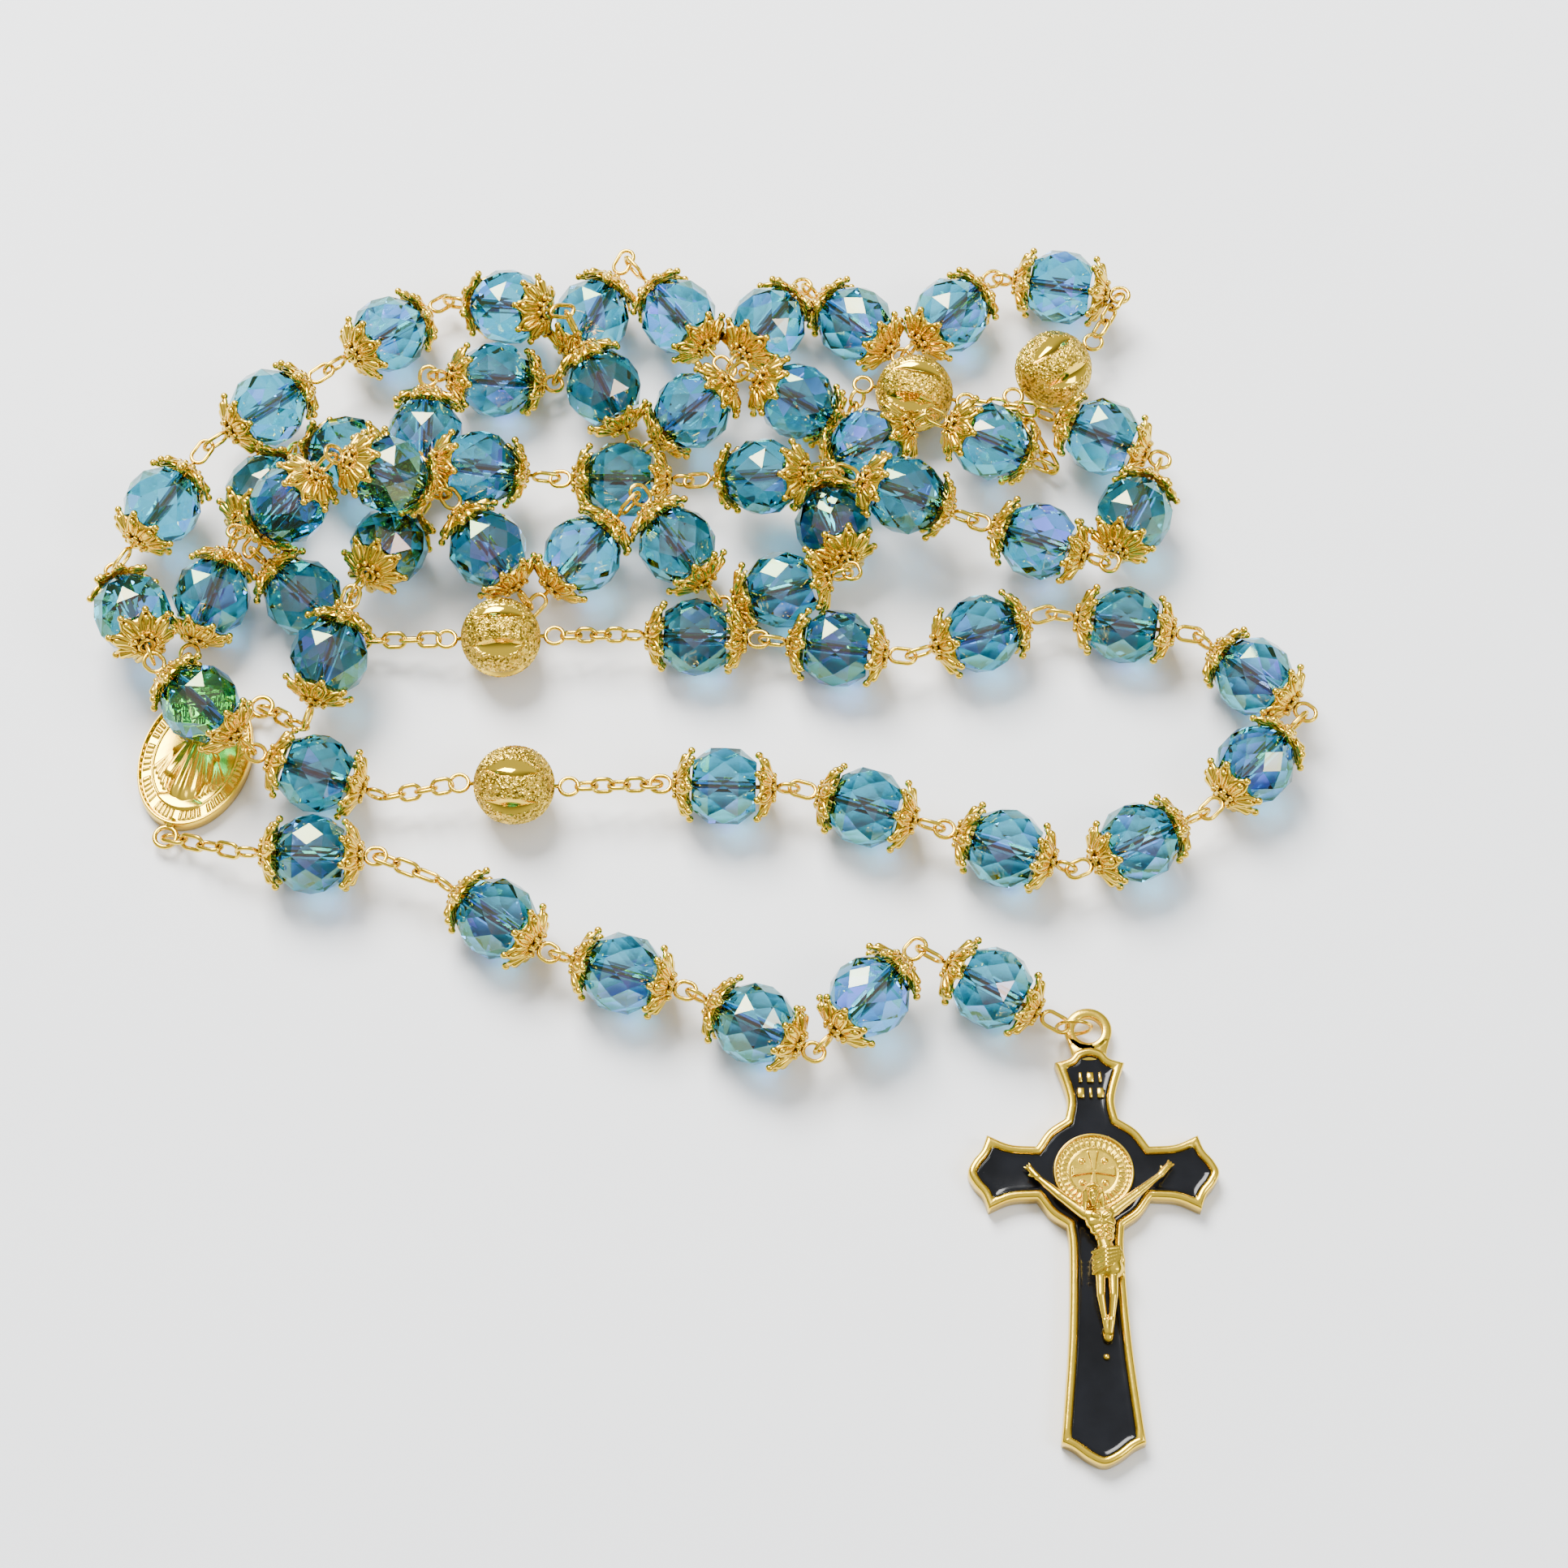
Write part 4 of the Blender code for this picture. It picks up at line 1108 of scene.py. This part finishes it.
def blended(obj, cell, rounds):
    """Blends an object's overlapping shapes into one skin."""
    melt = obj.modifiers.new("melt", "REMESH")
    melt.mode = "VOXEL"
    melt.voxel_size = cell * MM
    soften = obj.modifiers.new("soften", "SMOOTH")
    soften.iterations = rounds
    soften.factor = 0.5
    bpy.context.view_layer.update()
    graph = bpy.context.evaluated_depsgraph_get()
    skin = bpy.data.meshes.new_from_object(obj.evaluated_get(graph))
    obj.modifiers.clear()
    skin.name = obj.name
    obj.data = skin
    skin.shade_smooth()
    return obj


class ROSARY_OT_crucifix(bpy.types.Operator):
    """Casts the crucifix: its frame, medallion, enamel, figure and plaque"""

    bl_idname = "rosary.crucifix"
    bl_label = "Crucifix"

    def execute(self, context):
        place = cross_place()
        body = BODY_OF["crucifix_frame"]
        outline = cross_outline()
        gold = finish_for("cast_gold", polished_gold, 0.2, 0.25)
        rim = [
            (0.12, 0), (0, 0.15), (0, 1.6), (0.06, 1.8), (0.2, 1.94), (0.42, 2.0), (0.62, 1.96), (0.78, 1.84),
            (0.88, 1.62), (0.92, 1.15),
        ]
        items = [stepped(outline, rim)]
        bail = [(0.75, 1.4), (0.75, 2.15), (0.9, 2.33), (1.4, 2.33), (1.6, 2.15), (1.6, 1.5)]
        bail += [(1.5, 1.37), (0.85, 1.33)]
        upright = Matrix.Translation((0, BAIL_ABOVE, 0)) @ Matrix.Rotation(math.radians(-90), 4, "Y")
        items.append(moved(turned(bail, 40, closed=True), upright))
        neck = [(1.6, 11.6), (1.75, 12.7), (2.15, 14.0), (1.45, 13.9), (0.8, 13.45)]
        neck = np.array([(-x, y) for x, y in neck] + [(0, 13.3)] + neck[::-1])
        items.append(stepped(neck, [(0.1, 0.75), (0, 0.85), (0, 1.5), (0.1, 1.6)]))
        items = placed(items, place)
        piece("crucifix_rim_and_bail", items, gold, body, ["crucifix_frame"])

        medallion = moved(relief(MEDALLION_RADIUS, MEDALLION_RADIUS, medallion_height, 1.0, 80, 264), place)
        piece("crucifix_medallion", [medallion], gold, body)

        inlay = [(0.9, 1.12), (0.9, 1.66), (1.02, 1.58), (1.2, 1.53), (1.45, 1.5)]
        fill = moved(stepped(outline, inlay), place)
        enamel = finish_for("black_enamel", black_enamel)
        piece("crucifix_inlay", [fill], enamel, BODY_OF["crucifix_enamel"], ["crucifix_enamel"])

        marks = []
        for y, widths in ((9.75, (0.28, 0.62, 0.28)), (8.15, (0.62, 0.28, 0.62))):
            for i, width in enumerate(widths):
                marks.append(bar((i - 1) * 0.95, y, width, 1.0, 1.3, 1.85))
        marks.append(granule((0.55, -18.4, 1.6), 0.32, 6, 10))
        piece("crucifix_plaque_bars", placed(marks, place), gold, body)

        skin = placed(figure_limbs() + cloth_folds() + [thorns()], place)
        figure = piece("crucifix_cast_figure", skin, gold, BODY_OF["crucifix_figure"], ["crucifix_figure"])
        blended(figure, 0.075, 2)
        return {"FINISHED"}


# ---- stage, in metres but for the height that the camera aims at


FLOOR_HALF = 8.0
FLOOR_GAP = 0.00005
AIM_HEIGHT = 4.0


def cloth_finish():
    stage = settings("stage")
    finish, nodes, links, shader = new_finish("pale_cloth")
    shader.inputs["Roughness"].default_value = 0.9
    shader.inputs["Specular IOR Level"].default_value = 0.1
    vector = texture_place(nodes)
    shade = tuple(stage.cloth)
    colour = ramp(
        nodes, links, noise(nodes, links, vector, 9, 5.0), [(0.35, tuple(c * 0.97 for c in shade)), (0.7, shade)]
    )
    links.new(colour, shader.inputs["Base Color"])
    bump(nodes, links, noise(nodes, links, vector, 35, 5.0), shader, 0.12, 0.002)
    return finish


def soft_light(name, place, aim, size, watts, colour):
    lamp = bpy.data.lights.new(name, "AREA")
    lamp.size = size
    lamp.energy = watts
    lamp.color = colour
    obj = bpy.data.objects.new(name, lamp)
    obj.location = place
    obj.rotation_euler = (Vector(aim) - Vector(place)).to_track_quat("-Z", "Y").to_euler()
    bpy.context.scene.collection.objects.link(obj)


class ROSARY_OT_stage(bpy.types.Operator):
    """Lays the surface, lights it and sets the camera"""

    bl_idname = "rosary.stage"
    bl_label = "Stage"

    def execute(self, context):
        stage = settings("stage")
        mesh = bpy.data.meshes.new("surface")
        corners = [(-FLOOR_HALF, -FLOOR_HALF, 0), (FLOOR_HALF, -FLOOR_HALF, 0)]
        corners += [(FLOOR_HALF, FLOOR_HALF, 0), (-FLOOR_HALF, FLOOR_HALF, 0)]
        mesh.from_pydata(corners, [], [(0, 1, 2, 3)])
        mesh.materials.append(cloth_finish())
        surface = bpy.data.objects.new("surface", mesh)
        surface.location.z = -FLOOR_GAP
        context.scene.collection.objects.link(surface)

        world = bpy.data.worlds.new("studio")
        world.use_nodes = True
        nodes, links = world.node_tree.nodes, world.node_tree.links
        place = nodes.new("ShaderNodeTexCoord")
        split = nodes.new("ShaderNodeSeparateXYZ")
        links.new(place.outputs["Generated"], split.inputs["Vector"])
        sky = [(0.0, (0.16, 0.16, 0.17)), (0.35, (0.42, 0.44, 0.48)), (0.8, (0.95, 0.98, 1.0))]
        links.new(ramp(nodes, links, split.outputs["Z"], sky), nodes["Background"].inputs["Color"])
        nodes["Background"].inputs["Strength"].default_value = 0.9
        context.scene.world = world
        soft_light("window", (-0.2, 0.45, 0.6), (0, 0, 0), 0.4, 18.5, (1.0, 0.995, 0.98))
        soft_light("side", (0.5, -0.2, 0.5), (0, 0, 0), 0.25, 2.5, (0.95, 0.98, 1.0))

        camera = bpy.data.objects.new("camera", bpy.data.cameras.new("camera"))
        back = (stage.height - AIM_HEIGHT) / math.tan(stage.tilt)
        camera.location = Vector((-LAYOUT_CENTRE[0], -LAYOUT_CENTRE[1] - back, stage.height)) * MM
        camera.rotation_euler = (math.pi / 2 - stage.tilt, 0, 0)
        camera.data.lens = stage.lens
        camera.data.clip_start = 0.01
        context.scene.collection.objects.link(camera)
        context.scene.camera = camera
        return {"FINISHED"}


class ROSARY_PT_builder(bpy.types.Panel):
    """Lists the rosary's steps in the sidebar"""

    bl_label = "Rosary"
    bl_space_type = "VIEW_3D"
    bl_region_type = "UI"
    bl_category = "Rosary"

    def draw(self, context):
        for step in STEPS:
            self.layout.operator(step.bl_idname)
        for name in SETTINGS:
            box = self.layout.box()
            group = getattr(context.scene, f"rosary_{name}")
            for key in group.__annotations__:
                box.prop(group, key)


STEPS = (
    ROSARY_OT_glass_beads, ROSARY_OT_filigree_caps, ROSARY_OT_eye_pins, ROSARY_OT_gold_balls,
    ROSARY_OT_short_chains, ROSARY_OT_centre_medal, ROSARY_OT_crucifix, ROSARY_OT_stage,
)
SETTINGS = {
    "glass": GlassSettings, "cap": CapSettings, "wire": WireSettings, "ball": BallSettings,
    "gold": GoldSettings, "stage": StageSettings,
}


def register():
    for name, group in SETTINGS.items():
        bpy.utils.register_class(group)
        setattr(bpy.types.Scene, f"rosary_{name}", PointerProperty(type=group))
    for step in STEPS:
        bpy.utils.register_class(step)
    bpy.utils.register_class(ROSARY_PT_builder)


def unregister():
    bpy.utils.unregister_class(ROSARY_PT_builder)
    for step in reversed(STEPS):
        bpy.utils.unregister_class(step)
    for name, group in SETTINGS.items():
        delattr(bpy.types.Scene, f"rosary_{name}")
        bpy.utils.unregister_class(group)


def main():
    register()
    bpy.ops.rosary.glass_beads()
    bpy.ops.rosary.filigree_caps()
    bpy.ops.rosary.eye_pins()
    bpy.ops.rosary.gold_balls()
    bpy.ops.rosary.short_chains()
    bpy.ops.rosary.centre_medal()
    bpy.ops.rosary.crucifix()
    bpy.ops.rosary.stage()
    bpy.context.view_layer.update()


if __name__ == "__main__":
    main()
